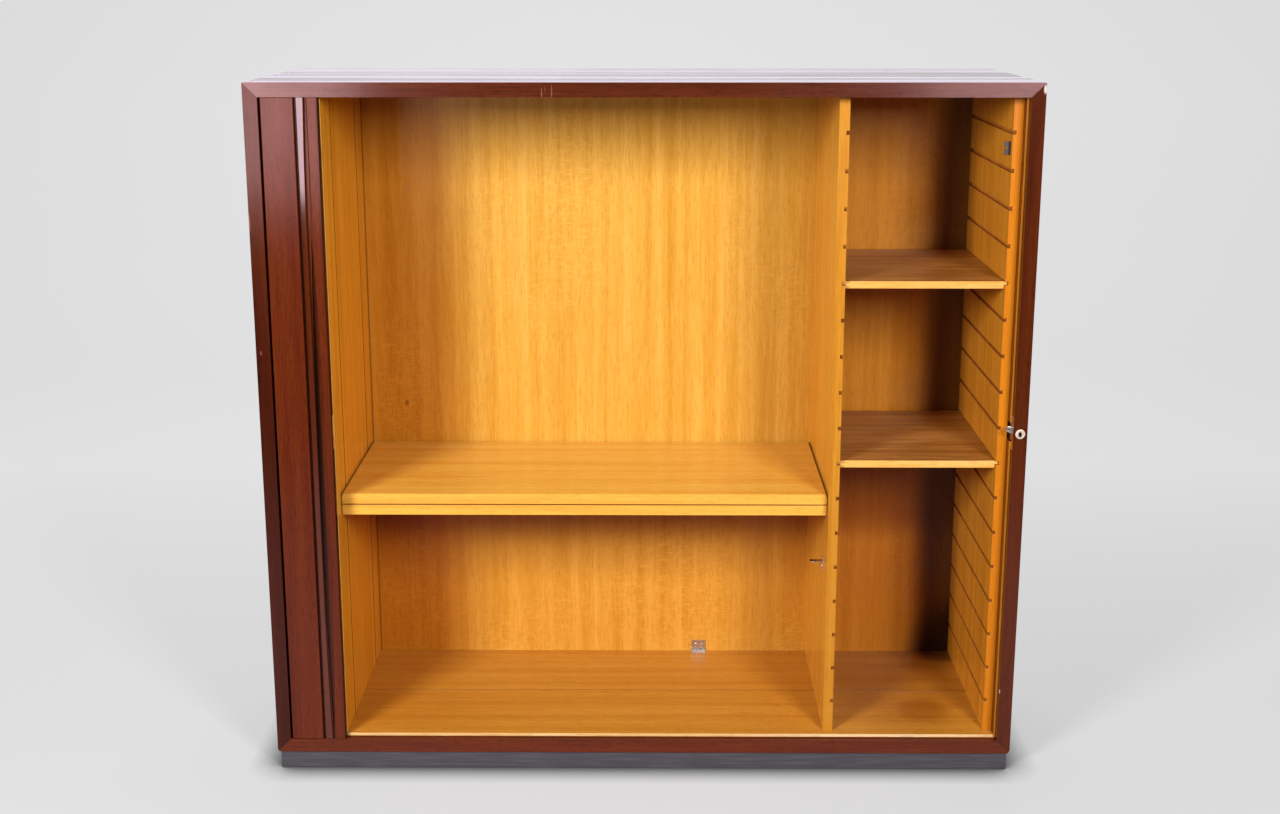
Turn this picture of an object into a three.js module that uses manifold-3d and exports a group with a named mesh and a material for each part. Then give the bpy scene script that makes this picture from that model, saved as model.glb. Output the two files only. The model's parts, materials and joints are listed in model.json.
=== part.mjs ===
// Cabinet with a horizontal tambour: a mitred mahogany carcass on a low plinth, an ash
// interior and a slatted curtain that is drawn across the front by its leading rail.
// Millimetres, +Z up, +X to the right, the front faces -Y. The origin lies under the
// middle of the cabinet, on the surface that it stands on.

import * as THREE from 'three';
import * as BufferGeometryUtils from 'three/addons/utils/BufferGeometryUtils.js';
import Module from 'manifold-3d';

// Carcass
const cabinetWidth = 1200;
const cabinetDepth = 420;
const carcassHeight = 1082;
const carcassBoard = 22;
const outerBackThickness = 8;
const outerBackInset = 4;

// Plinth
const plinthHeight = 30;
const plinthBoard = 18;
const plinthInset = 4;

// Fits
const seatGap = 0.3;
const runningGap = 0.7;
const cutOverrun = 2;

// Tambour curtain and its track
const slatThickness = 5.5;
const slatPitch = 15;
const slatGrooveDepth = 1.6;
const slatGrooveWidth = 2.4;
const tailSlats = 4;
const trackPlay = 0.8;
const trackDepth = 5;
const trackHeadroom = 1.5;
const cornerRadius = 40;
const sideRunOffset = 8;
const backRunOffset = 13;
const backBayGap = 10.45;
const cornerSteps = 12;

// Cover board over the front left corner of the track
const coverBoardOverlap = 5.5;
const coverBoardThickness = 4.6;
const coverBoardSetback = 0.6;
const coverBoardSideGap = 3.5;
const coverBoardClearance = 1.05;

// Leading rail with its finger pull
const railWidth = 32.5;
const railSetback = 1;
const railBackThickness = 6;
const railRestGap = 4.5;
const railEndGap = 0.6;
const railParkGap = 0.5;
const gripWidth = 11;
const gripBow = 4;
const gripBowPowerShare = 4;
const pullGrooveWidth = 3;
const pullScoop = 8;
const pullScoopCentreShare = 0.4;
const pullPocketDepth = 3;
const pullSteps = 24;
const guideLength = 20;
const guideThickness = 5;

// Ash interior
const floorBoardThickness = 5.2;
const interiorClearance = 1.45;
const floorFrontShare = 0.49;
const falseWallThickness = 13;
const falseWallSetback = 2;
const falseWallFrontStrip = 76;
const falseWallRearStrip = 68;
const falseBackThickness = 6;

// Right wall, its closing strip and the divider
const rightWallThickness = 15;
const rightWallSetback = 18;
const closingStripThickness = 3;
const closingStripWidth = 26;
const closingStripNotch = 30;
const dividerThickness = 16;
const dividerSetback = 13;
const sideBayWidth = 248;

// Shelf grooves and side shelves
const groovePitch = 57.84;
const grooveHeight = 6;
const grooveDepth = 5;
const firstGroove = 52.8;
const topGrooveMargin = 50;
const sideShelfThickness = 11.8;
const sideShelfSetback = 11;
const sideShelfRearGap = 10;
const upperSideShelfShare = 0.75;
const lowerSideShelfShare = 0.4375;

// Main shelf, two loose boards one on the other
const mainShelfThickness = 17.4;
const mainShelfClearHeight = 365.7;
const mainShelfSetback = 32.5;
const mainShelfRearGap = 5;
const mainShelfEndGap = 1.4;

// Steel shelf brackets
const bracketPlate = 1;
const bracketHeight = 24;
const bracketWidth = 12;
const bracketLug = 21;
const bracketLugDrop = 8;
const bracketFrontInset = 54;
const bracketRearInset = 70;
const spareBracketHeight = 271;
const footBracketWidth = 26;
const footBracketHeight = 21;
const footBracketLug = 13;
const footBracketPlaceShare = 0.25;

// Small clip at the top of the right wall
const clipHeight = 20;
const clipFlange = 10;
const clipPlate = 1.2;
const clipLeg = 12;
const clipSetback = 13;
const clipDrop = 69;
const clipHole = 2.2;

// Lock in the right stile
const lockHeightShare = 0.5;
const lockRingRadius = 7.8;
const lockRingDepth = 4;
const lockPlugRadius = 5;
const lockPlugLength = 25;
const lockPlugRecess = 0.4;
const keywayWidth = 1.6;
const keywayHeight = 6.4;
const keywayDepth = 8;
const lockStileSkin = 2.9;
const lockCaseDepth = 25;
const lockCaseHeight = 60;
const lockCaseWall = 1.2;
const forendThickness = 2;
const forendWidth = 28;
const forendHeight = 56;
const forendSetback = 3;
const camThickness = 3.5;
const camSetback = 8;
const camHubWall = 1;
const camNoseRadius = 4.7;
const camNoseReach = 16.5;
const camNoseRise = 6.4;
const camNotchRadius = 3;
const camPocketBelow = 9;
const camPocketAbove = 24;
const strikeThickness = 1.2;
const strikeWidth = 10;
const strikeHeight = 56;
const strikeSetback = 2.4;
const roundSegments = 32;

// Places worked out from the sizes above
const halfWidth = cabinetWidth / 2;
const frontY = -cabinetDepth / 2;
const backY = cabinetDepth / 2;
const carcassBase = plinthHeight;
const carcassTop = plinthHeight + carcassHeight;
const innerLeft = -halfWidth + carcassBoard;
const innerRight = halfWidth - carcassBoard;
const innerBase = carcassBase + carcassBoard;
const innerTop = carcassTop - carcassBoard;
const outerBackFront = backY - outerBackInset - outerBackThickness;

const trackHalf = slatThickness / 2 + trackPlay;
const coverFront = frontY + coverBoardSetback;
const coverBack = coverFront + coverBoardThickness;
const frontRunY = coverBack + coverBoardClearance + slatThickness / 2;
const sideRunX = innerLeft + sideRunOffset;
const backRunY = outerBackFront - backRunOffset;
const cornerX = sideRunX + cornerRadius;
const frontCornerY = frontRunY + cornerRadius;
const rearCornerY = backRunY - cornerRadius;
const curtainBase = innerBase - trackDepth + seatGap;
const curtainTop = innerTop + trackDepth - trackHeadroom;

const coverLeft = innerLeft + coverBoardSideGap;
const coverRight = cornerX + coverBoardOverlap;
const railLeft = coverRight + railRestGap;
const railRight = railLeft + railWidth;
const railFront = frontY + railSetback;
const railBack = frontRunY + trackHalf + seatGap;
const railSplit = railBack - railBackThickness;
const railBase = innerBase + railEndGap;
const railTop = innerTop - railEndGap;
const gripRight = railLeft + gripWidth;
const stileLeft = gripRight + pullGrooveWidth;
const tambourTravel = innerRight - seatGap - railRight;

const interiorFront = frontRunY + trackHalf + interiorClearance;
const interiorBack = backRunY - trackHalf - backBayGap - falseBackThickness;
const floorTop = innerBase + floorBoardThickness;
const bayLeft = railRight + railParkGap;
const falseWallFront = interiorFront + falseWallSetback;
const falseWallRear = interiorBack + falseBackThickness;
const wallRight = innerRight - closingStripThickness - rightWallThickness;
const dividerRight = wallRight - sideBayWidth;
const dividerLeft = dividerRight - dividerThickness;
const dividerFront = interiorFront + dividerSetback;
const rightWallFront = interiorFront + rightWallSetback;
const mainShelfFront = interiorFront + mainShelfSetback;

const lockAxisInset = carcassBoard / 2;
const lockX = innerRight + lockAxisInset;
const lockZ = carcassBase + carcassHeight * lockHeightShare;
const camFront = frontY + camSetback;
const camBack = camFront + camThickness;
const camHubRadius = lockPlugRadius + seatGap + camHubWall;

const mahogany = new THREE.MeshStandardMaterial({ color: 0x6f2d1c, roughness: 0.32, metalness: 0 });
const ash = new THREE.MeshStandardMaterial({ color: 0xd9933a, roughness: 0.5, metalness: 0 });
const ashEdge = new THREE.MeshStandardMaterial({ color: 0xe9ac55, roughness: 0.5, metalness: 0 });
const backBoard = new THREE.MeshStandardMaterial({ color: 0x8a5a35, roughness: 0.7, metalness: 0 });
const darkPaint = new THREE.MeshStandardMaterial({ color: 0x57545a, roughness: 0.6, metalness: 0 });
const nickel = new THREE.MeshStandardMaterial({ color: 0xc9bdb8, roughness: 0.3, metalness: 1 });
const steel = new THREE.MeshStandardMaterial({ color: 0xa8a6a4, roughness: 0.4, metalness: 1 });
const cabinet = new THREE.Group();

const wasm = await Module();
wasm.setup();

// A solid for joining and cutting, from any closed geometry.
function toSolid(geometry) {
  const bare = geometry.clone();
  bare.deleteAttribute('normal');
  bare.deleteAttribute('uv');
  const merged = BufferGeometryUtils.mergeVertices(bare);
  return new wasm.Manifold(new wasm.Mesh({
    numProp: 3,
    vertProperties: new Float32Array(merged.attributes.position.array),
    triVerts: new Uint32Array(merged.index.array),
  }));
}

// The geometry of a solid.
function toGeometry(solid) {
  const mesh = solid.getMesh();
  const geometry = new THREE.BufferGeometry();
  geometry.setAttribute('position', new THREE.BufferAttribute(mesh.vertProperties, 3));
  geometry.setIndex(new THREE.BufferAttribute(mesh.triVerts, 1));
  return geometry;
}

// A geometry with each of the cutters taken out of it.
function cut(geometry, cutters) {
  let solid = toSolid(geometry);
  for (const cutter of cutters) {
    solid = solid.subtract(toSolid(cutter));
  }
  return toGeometry(solid);
}

// A box between two corners, with its faces exactly on them.
function block(x0, x1, y0, y1, z0, z1) {
  const geometry = new THREE.BoxGeometry(1, 1, 1);
  const place = geometry.attributes.position;
  for (let i = 0; i < place.count; i += 1) {
    place.setXYZ(
      i,
      place.getX(i) < 0 ? x0 : x1,
      place.getY(i) < 0 ? y0 : y1,
      place.getZ(i) < 0 ? z0 : z1,
    );
  }
  return geometry;
}

// An outline of [x, y] points carried straight up from z0 to z1.
function upright(points, z0, z1) {
  const outline = new THREE.Shape(points.map(([x, y]) => new THREE.Vector2(x, y)));
  const geometry = new THREE.ExtrudeGeometry(outline, { depth: 1, bevelEnabled: false });
  const place = geometry.attributes.position;
  for (let i = 0; i < place.count; i += 1) {
    place.setZ(i, place.getZ(i) > 0 ? z1 : z0);
  }
  return geometry;
}

// An outline of [x, z] points carried from y0 at the front to y1 behind.
function through(points, y0, y1) {
  const outline = new THREE.Shape(points.map(([x, z]) => new THREE.Vector2(x, z)));
  const geometry = new THREE.ExtrudeGeometry(outline, { depth: 1, bevelEnabled: false });
  const place = geometry.attributes.position;
  for (let i = 0; i < place.count; i += 1) {
    place.setXYZ(i, place.getX(i), place.getZ(i) > 0 ? y0 : y1, place.getY(i));
  }
  return geometry;
}

// A round bar along Y between two depths.
function roundBar(x, z, radius, y0, y1) {
  const bar = new THREE.CylinderGeometry(radius, radius, y1 - y0, roundSegments);
  return bar.translate(x, (y0 + y1) / 2, z);
}

function add(name, geometry, material) {
  const mesh = new THREE.Mesh(geometry, material);
  mesh.name = name;
  cabinet.add(mesh);
}

// A point of the track's centre line. The distance runs from the start of the front
// corner, round it, along the left side, round the rear corner and to the right behind
// the interior; below zero it runs to the right along the front. The normal points to
// the outside of the cabinet.
const cornerLength = cornerRadius * Math.PI / 2;
const sideStart = cornerLength;
const sideEnd = sideStart + rearCornerY - frontCornerY;
const backStart = sideEnd + cornerLength;

function trackPoint(distance) {
  if (distance <= 0) {
    return { x: cornerX - distance, y: frontRunY, nx: 0, ny: -1 };
  }
  if (distance < sideStart) {
    const turn = distance / cornerRadius;
    const nx = -Math.sin(turn);
    const ny = -Math.cos(turn);
    return { x: cornerX + cornerRadius * nx, y: frontCornerY + cornerRadius * ny, nx, ny };
  }
  if (distance <= sideEnd) {
    return { x: sideRunX, y: frontCornerY + distance - sideStart, nx: -1, ny: 0 };
  }
  if (distance < backStart) {
    const turn = (distance - sideEnd) / cornerRadius;
    const nx = -Math.cos(turn);
    const ny = Math.sin(turn);
    return { x: cornerX + cornerRadius * nx, y: rearCornerY + cornerRadius * ny, nx, ny };
  }
  return { x: cornerX + distance - backStart, y: backRunY, nx: 0, ny: 1 };
}

// The distances at which a band along the track gets points, between two distances.
function trackStations(from, to) {
  const stations = [from];
  for (const corner of [0, sideEnd]) {
    for (let i = 0; i <= cornerSteps; i += 1) {
      stations.push(corner + cornerLength * i / cornerSteps);
    }
  }
  stations.push(to);
  return stations.filter((s) => s >= from && s <= to).sort((a, b) => a - b);
}

function offsetPoint(distance, offset) {
  const p = trackPoint(distance);
  return [p.x + p.nx * offset, p.y + p.ny * offset];
}

// The groove that the curtain runs in, as a cutter between two heights.
function trackGroove(z0, z1) {
  const from = cornerX - innerRight;
  const to = backStart + innerRight - cornerX;
  const stations = trackStations(from, to);
  const outer = stations.map((s) => offsetPoint(s, trackHalf));
  const inner = stations.map((s) => offsetPoint(s, -trackHalf)).reverse();
  return upright([...outer, ...inner], z0, z1);
}

// A stretch of curtain between two distances, with a groove between each two slats.
const curtainStart = cornerX - railLeft + seatGap;
const slatCount = Math.ceil((tambourTravel - curtainStart) / slatPitch) + tailSlats;
const curtainEnd = curtainStart + slatCount * slatPitch;

function curtainStretch(from, to) {
  const half = slatThickness / 2;
  const outer = [];
  const inner = [];
  const place = (s, offset, list) => list.push({ s, point: offsetPoint(s, offset) });
  place(from, half, outer);
  place(from, -half, inner);
  for (let i = 0; i <= slatCount; i += 1) {
    const joint = curtainStart + i * slatPitch;
    const room = slatGrooveWidth / 2;
    if (joint - room > from && joint + room < to) {
      place(joint - room, half, outer);
      place(joint, half - slatGrooveDepth, outer);
      place(joint + room, half, outer);
      place(joint, -half, inner);
    }
  }
  place(to, half, outer);
  place(to, -half, inner);
  const points = [...outer, ...inner.reverse()].map((entry) => entry.point);
  return upright(points, curtainBase, curtainTop);
}

function buildCarcass() {
  const west = -halfWidth;
  const east = halfWidth;
  const topBoard = through([
    [innerLeft, innerTop], [innerRight, innerTop], [east, carcassTop], [west, carcassTop],
  ], frontY, backY);
  const baseBoard = through([
    [west, carcassBase], [east, carcassBase], [innerRight, innerBase], [innerLeft, innerBase],
  ], frontY, backY);
  const topGroove = trackGroove(innerTop - cutOverrun, innerTop + trackDepth);
  const baseGroove = trackGroove(innerBase - trackDepth, innerBase + cutOverrun);
  add('top_panel', cut(topBoard, [topGroove]), mahogany);
  add('bottom_panel', cut(baseBoard, [baseGroove]), mahogany);
  add('left_side', through([
    [west, carcassBase], [innerLeft, innerBase], [innerLeft, innerTop], [west, carcassTop],
  ], frontY, backY), mahogany);
  const rightBoard = through([
    [innerRight, innerBase], [east, carcassBase], [east, carcassTop], [innerRight, innerTop],
  ], frontY, backY);
  const caseFront = frontY + lockRingDepth;
  const caseRight = halfWidth - lockStileSkin;
  const caseHalf = lockCaseHeight / 2 + seatGap;
  add('right_side', cut(rightBoard, [
    roundBar(lockX, lockZ, lockRingRadius + seatGap, frontY - cutOverrun, caseFront + cutOverrun),
    block(
      innerRight - cutOverrun, caseRight, caseFront, caseFront + lockCaseDepth + seatGap + seatGap,
      lockZ - caseHalf, lockZ + caseHalf,
    ),
    block(
      innerRight - cutOverrun, innerRight + forendThickness,
      frontY + forendSetback, frontY + forendSetback + forendWidth + seatGap + seatGap,
      lockZ - forendHeight / 2 - seatGap, lockZ + forendHeight / 2 + seatGap,
    ),
  ]), mahogany);
  add('outer_back', block(
    innerLeft, innerRight, outerBackFront, outerBackFront + outerBackThickness, innerBase, innerTop,
  ), backBoard);
}

function buildPlinth() {
  const east = halfWidth - plinthInset;
  const front = frontY + plinthInset;
  const back = backY - plinthInset;
  add('plinth_front', block(-east, east, front, front + plinthBoard, 0, plinthHeight), darkPaint);
  add('plinth_back', block(-east, east, back - plinthBoard, back, 0, plinthHeight), darkPaint);
  const between = (name, x0, x1) => add(
    name, block(x0, x1, front + plinthBoard, back - plinthBoard, 0, plinthHeight), darkPaint,
  );
  between('plinth_left', -east, -east + plinthBoard);
  between('plinth_right', east - plinthBoard, east);
  between('plinth_brace', -plinthBoard / 2, plinthBoard / 2);
}

// The floor of the interior, in two boards with an open joint.
function buildFloor() {
  const jointY = interiorFront + (interiorBack - interiorFront) * floorFrontShare;
  const board = (name, y0, y1) => add(
    name, block(bayLeft, innerRight - closingStripThickness, y0, y1, innerBase, floorTop), ashEdge,
  );
  board('floor_front_board', interiorFront, jointY);
  board('floor_rear_board', jointY + seatGap, interiorBack);
}

// The wall beside the curtain's bay, made of three upright pieces, and the inner back.
function buildFalseWalls() {
  const left = bayLeft - falseWallThickness;
  const frontJoint = falseWallFront + falseWallFrontStrip;
  const rearJoint = falseWallRear - falseWallRearStrip;
  const piece = (name, y0, y1) => add(name, block(left, bayLeft, y0, y1, innerBase, innerTop), ash);
  piece('left_wall_front', falseWallFront, frontJoint);
  piece('left_wall_panel', frontJoint + seatGap, rearJoint - seatGap);
  piece('left_wall_rear', rearJoint, falseWallRear);
  add('inner_back', block(
    bayLeft, innerRight - closingStripThickness, interiorBack, falseWallRear, innerBase, innerTop,
  ), ash);
}

const clearHeight = innerTop - floorTop;
const grooveCount = 1 + Math.floor((clearHeight - firstGroove - topGrooveMargin) / groovePitch);

function grooveCentre(index) {
  return floorTop + firstGroove + index * groovePitch;
}

// A board seen from the front, with the shelf grooves in one of its two faces.
function groovedOutline(plainX, groovedX, z0, z1) {
  const into = Math.sign(plainX - groovedX) * grooveDepth;
  const points = [[plainX, z1], [plainX, z0], [groovedX, z0]];
  for (let i = 0; i < grooveCount; i += 1) {
    const low = grooveCentre(i) - grooveHeight / 2;
    const high = low + grooveHeight;
    points.push([groovedX, low], [groovedX + into, low], [groovedX + into, high], [groovedX, high]);
  }
  points.push([groovedX, z1]);
  return points;
}

function buildRightBay() {
  add('divider', through(
    groovedOutline(dividerLeft, dividerRight, floorTop, innerTop), dividerFront, interiorBack,
  ), ashEdge);
  add('right_wall', through(
    groovedOutline(wallRight + rightWallThickness, wallRight, floorTop, innerTop),
    rightWallFront, interiorBack,
  ), ash);
  const stripLeft = innerRight - closingStripThickness;
  const strip = (name, z0, z1) => add(
    name, block(stripLeft, innerRight, interiorFront, interiorFront + closingStripWidth, z0, z1), ashEdge,
  );
  strip('closing_strip_lower', innerBase, lockZ - closingStripNotch / 2);
  strip('closing_strip_upper', lockZ + closingStripNotch / 2, innerTop);
}

// A side shelf whose upper half runs into the grooves on both sides.
function buildSideShelf(name, share) {
  const centre = grooveCentre(Math.round(share * (grooveCount - 1)));
  const tongueTop = centre + grooveHeight / 2 - seatGap;
  const tongueBase = centre - grooveHeight / 2 + seatGap;
  const shelfBase = tongueTop - sideShelfThickness;
  const left = dividerRight + runningGap;
  const right = wallRight - runningGap;
  const tongue = grooveDepth - runningGap;
  add(name, through([
    [left, shelfBase], [right, shelfBase], [right, tongueBase],
    [wallRight + tongue, tongueBase], [wallRight + tongue, tongueTop],
    [dividerRight - tongue, tongueTop], [dividerRight - tongue, tongueBase], [left, tongueBase],
  ], dividerFront + sideShelfSetback, interiorBack - sideShelfRearGap), ash);
}

const lowerBoardUnder = floorTop + mainShelfClearHeight;

function buildMainShelf() {
  const board = (name, z0) => add(name, block(
    bayLeft + mainShelfEndGap, dividerLeft - mainShelfEndGap,
    mainShelfFront, interiorBack - mainShelfRearGap, z0, z0 + mainShelfThickness,
  ), ashEdge);
  board('main_shelf_lower', lowerBoardUnder);
  board('main_shelf_upper', lowerBoardUnder + mainShelfThickness + seatGap);
}

// A pressed bracket: a plate against an upright face and a lug that carries the shelf.
// The lug points along direction, +1 to the right and -1 to the left.
function shelfBracket(name, wallX, direction, y, lugTop) {
  const plateX = wallX + direction * bracketPlate;
  const tipX = wallX + direction * bracketLug;
  const plateTop = lugTop + bracketLugDrop;
  const plateBase = plateTop - bracketHeight;
  const lugBase = lugTop - bracketPlate;
  const points = [
    [wallX, plateBase], [plateX, plateBase], [plateX, lugBase], [tipX, lugBase],
    [tipX, lugTop], [plateX, lugTop], [plateX, plateTop], [wallX, plateTop],
  ];
  const outline = direction > 0 ? points : points.reverse();
  add(name, through(outline, y - bracketWidth / 2, y + bracketWidth / 2), nickel);
}

function buildBrackets() {
  const lugTop = lowerBoardUnder - seatGap;
  const front = mainShelfFront + bracketFrontInset;
  const rear = interiorBack - bracketRearInset;
  shelfBracket('bracket_left_front', bayLeft, 1, front, lugTop);
  shelfBracket('bracket_left_rear', bayLeft, 1, rear, lugTop);
  shelfBracket('bracket_right_front', dividerLeft, -1, front, lugTop);
  shelfBracket('bracket_right_rear', dividerLeft, -1, rear, lugTop);
  shelfBracket('bracket_spare', dividerLeft, -1, front, floorTop + spareBracketHeight);
}

// The angle at the foot of the inner back, with one leg on the floor.
function buildFootBracket() {
  const centre = (bayLeft + dividerLeft) / 2 + (dividerLeft - bayLeft) * footBracketPlaceShare;
  const west = centre - footBracketWidth / 2;
  const east = centre + footBracketWidth / 2;
  const front = interiorBack - footBracketLug;
  const plateFront = interiorBack - bracketPlate;
  const leg = block(west, east, front, interiorBack, floorTop, floorTop + bracketPlate);
  const plate = block(west, east, plateFront, interiorBack, floorTop, floorTop + footBracketHeight);
  add('foot_bracket', toGeometry(toSolid(leg).add(toSolid(plate))), nickel);
}

// The clip near the top of the right wall: one leg on the wall, one flange to the left.
function buildClip() {
  const front = rightWallFront + clipSetback;
  const top = innerTop - clipDrop;
  const base = top - clipHeight;
  const flange = block(wallRight - clipFlange, wallRight, front, front + clipPlate, base, top);
  const leg = block(wallRight - clipPlate, wallRight, front, front + clipLeg, base, top);
  const joined = toGeometry(toSolid(flange).add(toSolid(leg)));
  const holeX = wallRight - clipPlate - (clipFlange - clipPlate) / 2;
  const holeZ = (base + top) / 2;
  const hole = roundBar(holeX, holeZ, clipHole, front - cutOverrun, front + clipPlate + cutOverrun);
  add('wall_clip', cut(joined, [hole]), steel);
}

function buildCurtain() {
  const corner = cornerLength;
  add('curtain_front', curtainStretch(curtainStart, corner - seatGap), mahogany);
  add('curtain_side', curtainStretch(corner, sideEnd - seatGap), mahogany);
  add('curtain_rear_corner', curtainStretch(sideEnd, backStart - seatGap), mahogany);
  add('curtain_back', curtainStretch(backStart, curtainEnd), mahogany);
  add('cover_board', block(
    coverLeft, coverRight, coverFront, coverBack, innerBase, innerTop,
  ), mahogany);
}

// How wide the scoop of the finger pull is at a place along the rail, as a share of its most.
function scoopShare(along) {
  const off = (along - pullScoopCentreShare) / pullScoopCentreShare;
  return Math.max(0, 1 - off * off);
}

// The right edge of the grip, drawn in towards the left along the middle of its height.
function gripEdge(along) {
  return gripRight - gripBow * (1 - Math.abs(2 * along - 1) ** gripBowPowerShare);
}

// The left edge of the closing stile, scooped out to the right.
function scoopEdge(along) {
  return stileLeft + pullScoop * scoopShare(along);
}

// Points up one edge of the finger pull, from one share of the rail's height to another.
function pullEdge(edge, from, to) {
  const points = [];
  for (let i = 0; i <= pullSteps; i += 1) {
    const along = from + (to - from) * i / pullSteps;
    points.push([edge(along), railBase + (railTop - railBase) * along]);
  }
  return points;
}

// The pocket behind the finger pull, as long as the scoop and pointed at both ends.
function pocketOutline() {
  const middle = (gripRight + stileLeft) / 2;
  const toGrip = (along) => middle - (middle - gripRight + gripBow) * scoopShare(along);
  const toStile = (along) => middle + (stileLeft + pullScoop - middle) * scoopShare(along);
  const scoopLength = 2 * pullScoopCentreShare;
  return [
    ...pullEdge(toStile, 0, scoopLength), ...pullEdge(toGrip, scoopLength, 0).slice(1, -1),
  ];
}

// The leading rail: a backing strip with the grip and the closing stile glued on its
// front, the finger pull open between them, and a guide at each end in the track.
function buildLeadingRail() {
  const strikeFront = frontY + strikeSetback;
  const strikeCut = block(
    railRight - strikeThickness, railRight + cutOverrun,
    strikeFront - seatGap, strikeFront + strikeWidth + seatGap,
    lockZ - strikeHeight / 2 - seatGap, lockZ + strikeHeight / 2 + seatGap,
  );
  const camReach = camNoseReach + camNoseRadius - lockAxisInset + seatGap + runningGap;
  const notch = block(
    railRight - camReach, railRight + cutOverrun, camFront - runningGap, railBack + cutOverrun,
    lockZ - camPocketBelow, lockZ + camPocketAbove,
  );
  add('rail_back', cut(
    block(railLeft, railRight, railSplit, railBack, railBase, railTop),
    [strikeCut, notch, through(pocketOutline(), railSplit - cutOverrun, railSplit + pullPocketDepth)],
  ), mahogany);
  add('rail_grip', through(
    [[railLeft, railTop], [railLeft, railBase], ...pullEdge(gripEdge, 0, 1)], railFront, railSplit,
  ), mahogany);
  add('rail_stile', cut(through(
    [[railRight, railBase], [railRight, railTop], ...pullEdge(scoopEdge, 1, 0)], railFront, railSplit,
  ), [strikeCut]), mahogany);
  add('strike_plate', cut(block(
    railRight - strikeThickness, railRight, strikeFront, strikeFront + strikeWidth,
    lockZ - strikeHeight / 2, lockZ + strikeHeight / 2,
  ), [notch]), nickel);
  const guideLeft = (railLeft + railRight - guideLength) / 2;
  const guideFront = frontRunY - guideThickness / 2;
  const guideRight = guideLeft + guideLength;
  const guide = (name, z0, z1) => add(
    name, block(guideLeft, guideRight, guideFront, guideFront + guideThickness, z0, z1), mahogany,
  );
  guide('rail_guide_lower', curtainBase, railBase);
  guide('rail_guide_upper', railTop, curtainTop);
}

// The outline of the hooked cam: a hub and a nose with straight flanks between them.
function camOutline() {
  const reach = Math.hypot(camNoseReach, camNoseRise);
  const aim = Math.atan2(camNoseRise, -camNoseReach);
  const spread = Math.acos((camHubRadius - camNoseRadius) / reach);
  const outline = new THREE.Path();
  outline.absarc(lockX, lockZ, camHubRadius, aim + spread, aim - spread + 2 * Math.PI, false);
  outline.absarc(
    lockX - camNoseReach, lockZ + camNoseRise, camNoseRadius, aim - spread, aim + spread, false,
  );
  return outline.getPoints(roundSegments / 2).map((p) => [p.x, p.y]);
}

function buildLock() {
  const ringBack = frontY + lockRingDepth - seatGap;
  add('lock_ring', cut(roundBar(lockX, lockZ, lockRingRadius, frontY, ringBack), [
    roundBar(lockX, lockZ, lockPlugRadius + seatGap, frontY - cutOverrun, ringBack + cutOverrun),
  ]), nickel);
  const plugFront = frontY + lockPlugRecess;
  add('lock_plug', cut(roundBar(lockX, lockZ, lockPlugRadius, plugFront, plugFront + lockPlugLength), [
    block(
      lockX - keywayWidth / 2, lockX + keywayWidth / 2, plugFront - cutOverrun, plugFront + keywayDepth,
      lockZ - keywayHeight / 2, lockZ + keywayHeight / 2,
    ),
  ]), nickel);
  const notchX = lockX - camNoseReach / 2;
  const notchZ = lockZ - camHubRadius / 2 + camNoseRise / 2 - camNotchRadius;
  add('hook_cam', cut(through(camOutline(), camFront, camBack), [
    roundBar(lockX, lockZ, lockPlugRadius + seatGap, camFront - cutOverrun, camBack + cutOverrun),
    roundBar(notchX, notchZ, camNotchRadius, camFront - cutOverrun, camBack + cutOverrun),
  ]), steel);
  const caseFront = frontY + lockRingDepth + seatGap;
  const caseLeft = innerRight + forendThickness + seatGap;
  const caseRight = halfWidth - lockStileSkin - seatGap;
  add('lock_case', cut(block(
    caseLeft, caseRight, caseFront, caseFront + lockCaseDepth,
    lockZ - lockCaseHeight / 2, lockZ + lockCaseHeight / 2,
  ), [
    roundBar(
      lockX, lockZ, lockPlugRadius + seatGap, caseFront - cutOverrun,
      plugFront + lockPlugLength + seatGap,
    ),
    block(
      caseLeft - cutOverrun, caseRight - lockCaseWall, camFront - runningGap, camBack + runningGap,
      lockZ - camPocketBelow, lockZ + camPocketAbove,
    ),
  ]), steel);
  const forendFront = frontY + forendSetback + seatGap;
  add('lock_forend', cut(block(
    innerRight, innerRight + forendThickness, forendFront, forendFront + forendWidth,
    lockZ - forendHeight / 2, lockZ + forendHeight / 2,
  ), [
    block(
      innerRight - cutOverrun, innerRight + forendThickness + cutOverrun,
      camFront - runningGap, camBack + runningGap, lockZ - camPocketBelow, lockZ + camPocketAbove,
    ),
  ]), nickel);
}

buildCarcass();
buildPlinth();
buildFloor();
buildFalseWalls();
buildRightBay();
buildSideShelf('side_shelf_upper', upperSideShelfShare);
buildSideShelf('side_shelf_lower', lowerSideShelfShare);
buildMainShelf();
buildBrackets();
buildFootBracket();
buildClip();
buildCurtain();
buildLeadingRail();
buildLock();

export default cabinet;
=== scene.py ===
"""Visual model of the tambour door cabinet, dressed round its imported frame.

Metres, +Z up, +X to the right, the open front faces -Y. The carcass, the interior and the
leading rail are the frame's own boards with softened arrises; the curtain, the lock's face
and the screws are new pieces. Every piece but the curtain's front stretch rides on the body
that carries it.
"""
import json
import logging
import math
from collections.abc import Callable, Iterable, Sequence
from dataclasses import dataclass, field, replace
from enum import Enum

import bmesh
import bpy
from mathutils import Matrix, Vector


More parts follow.
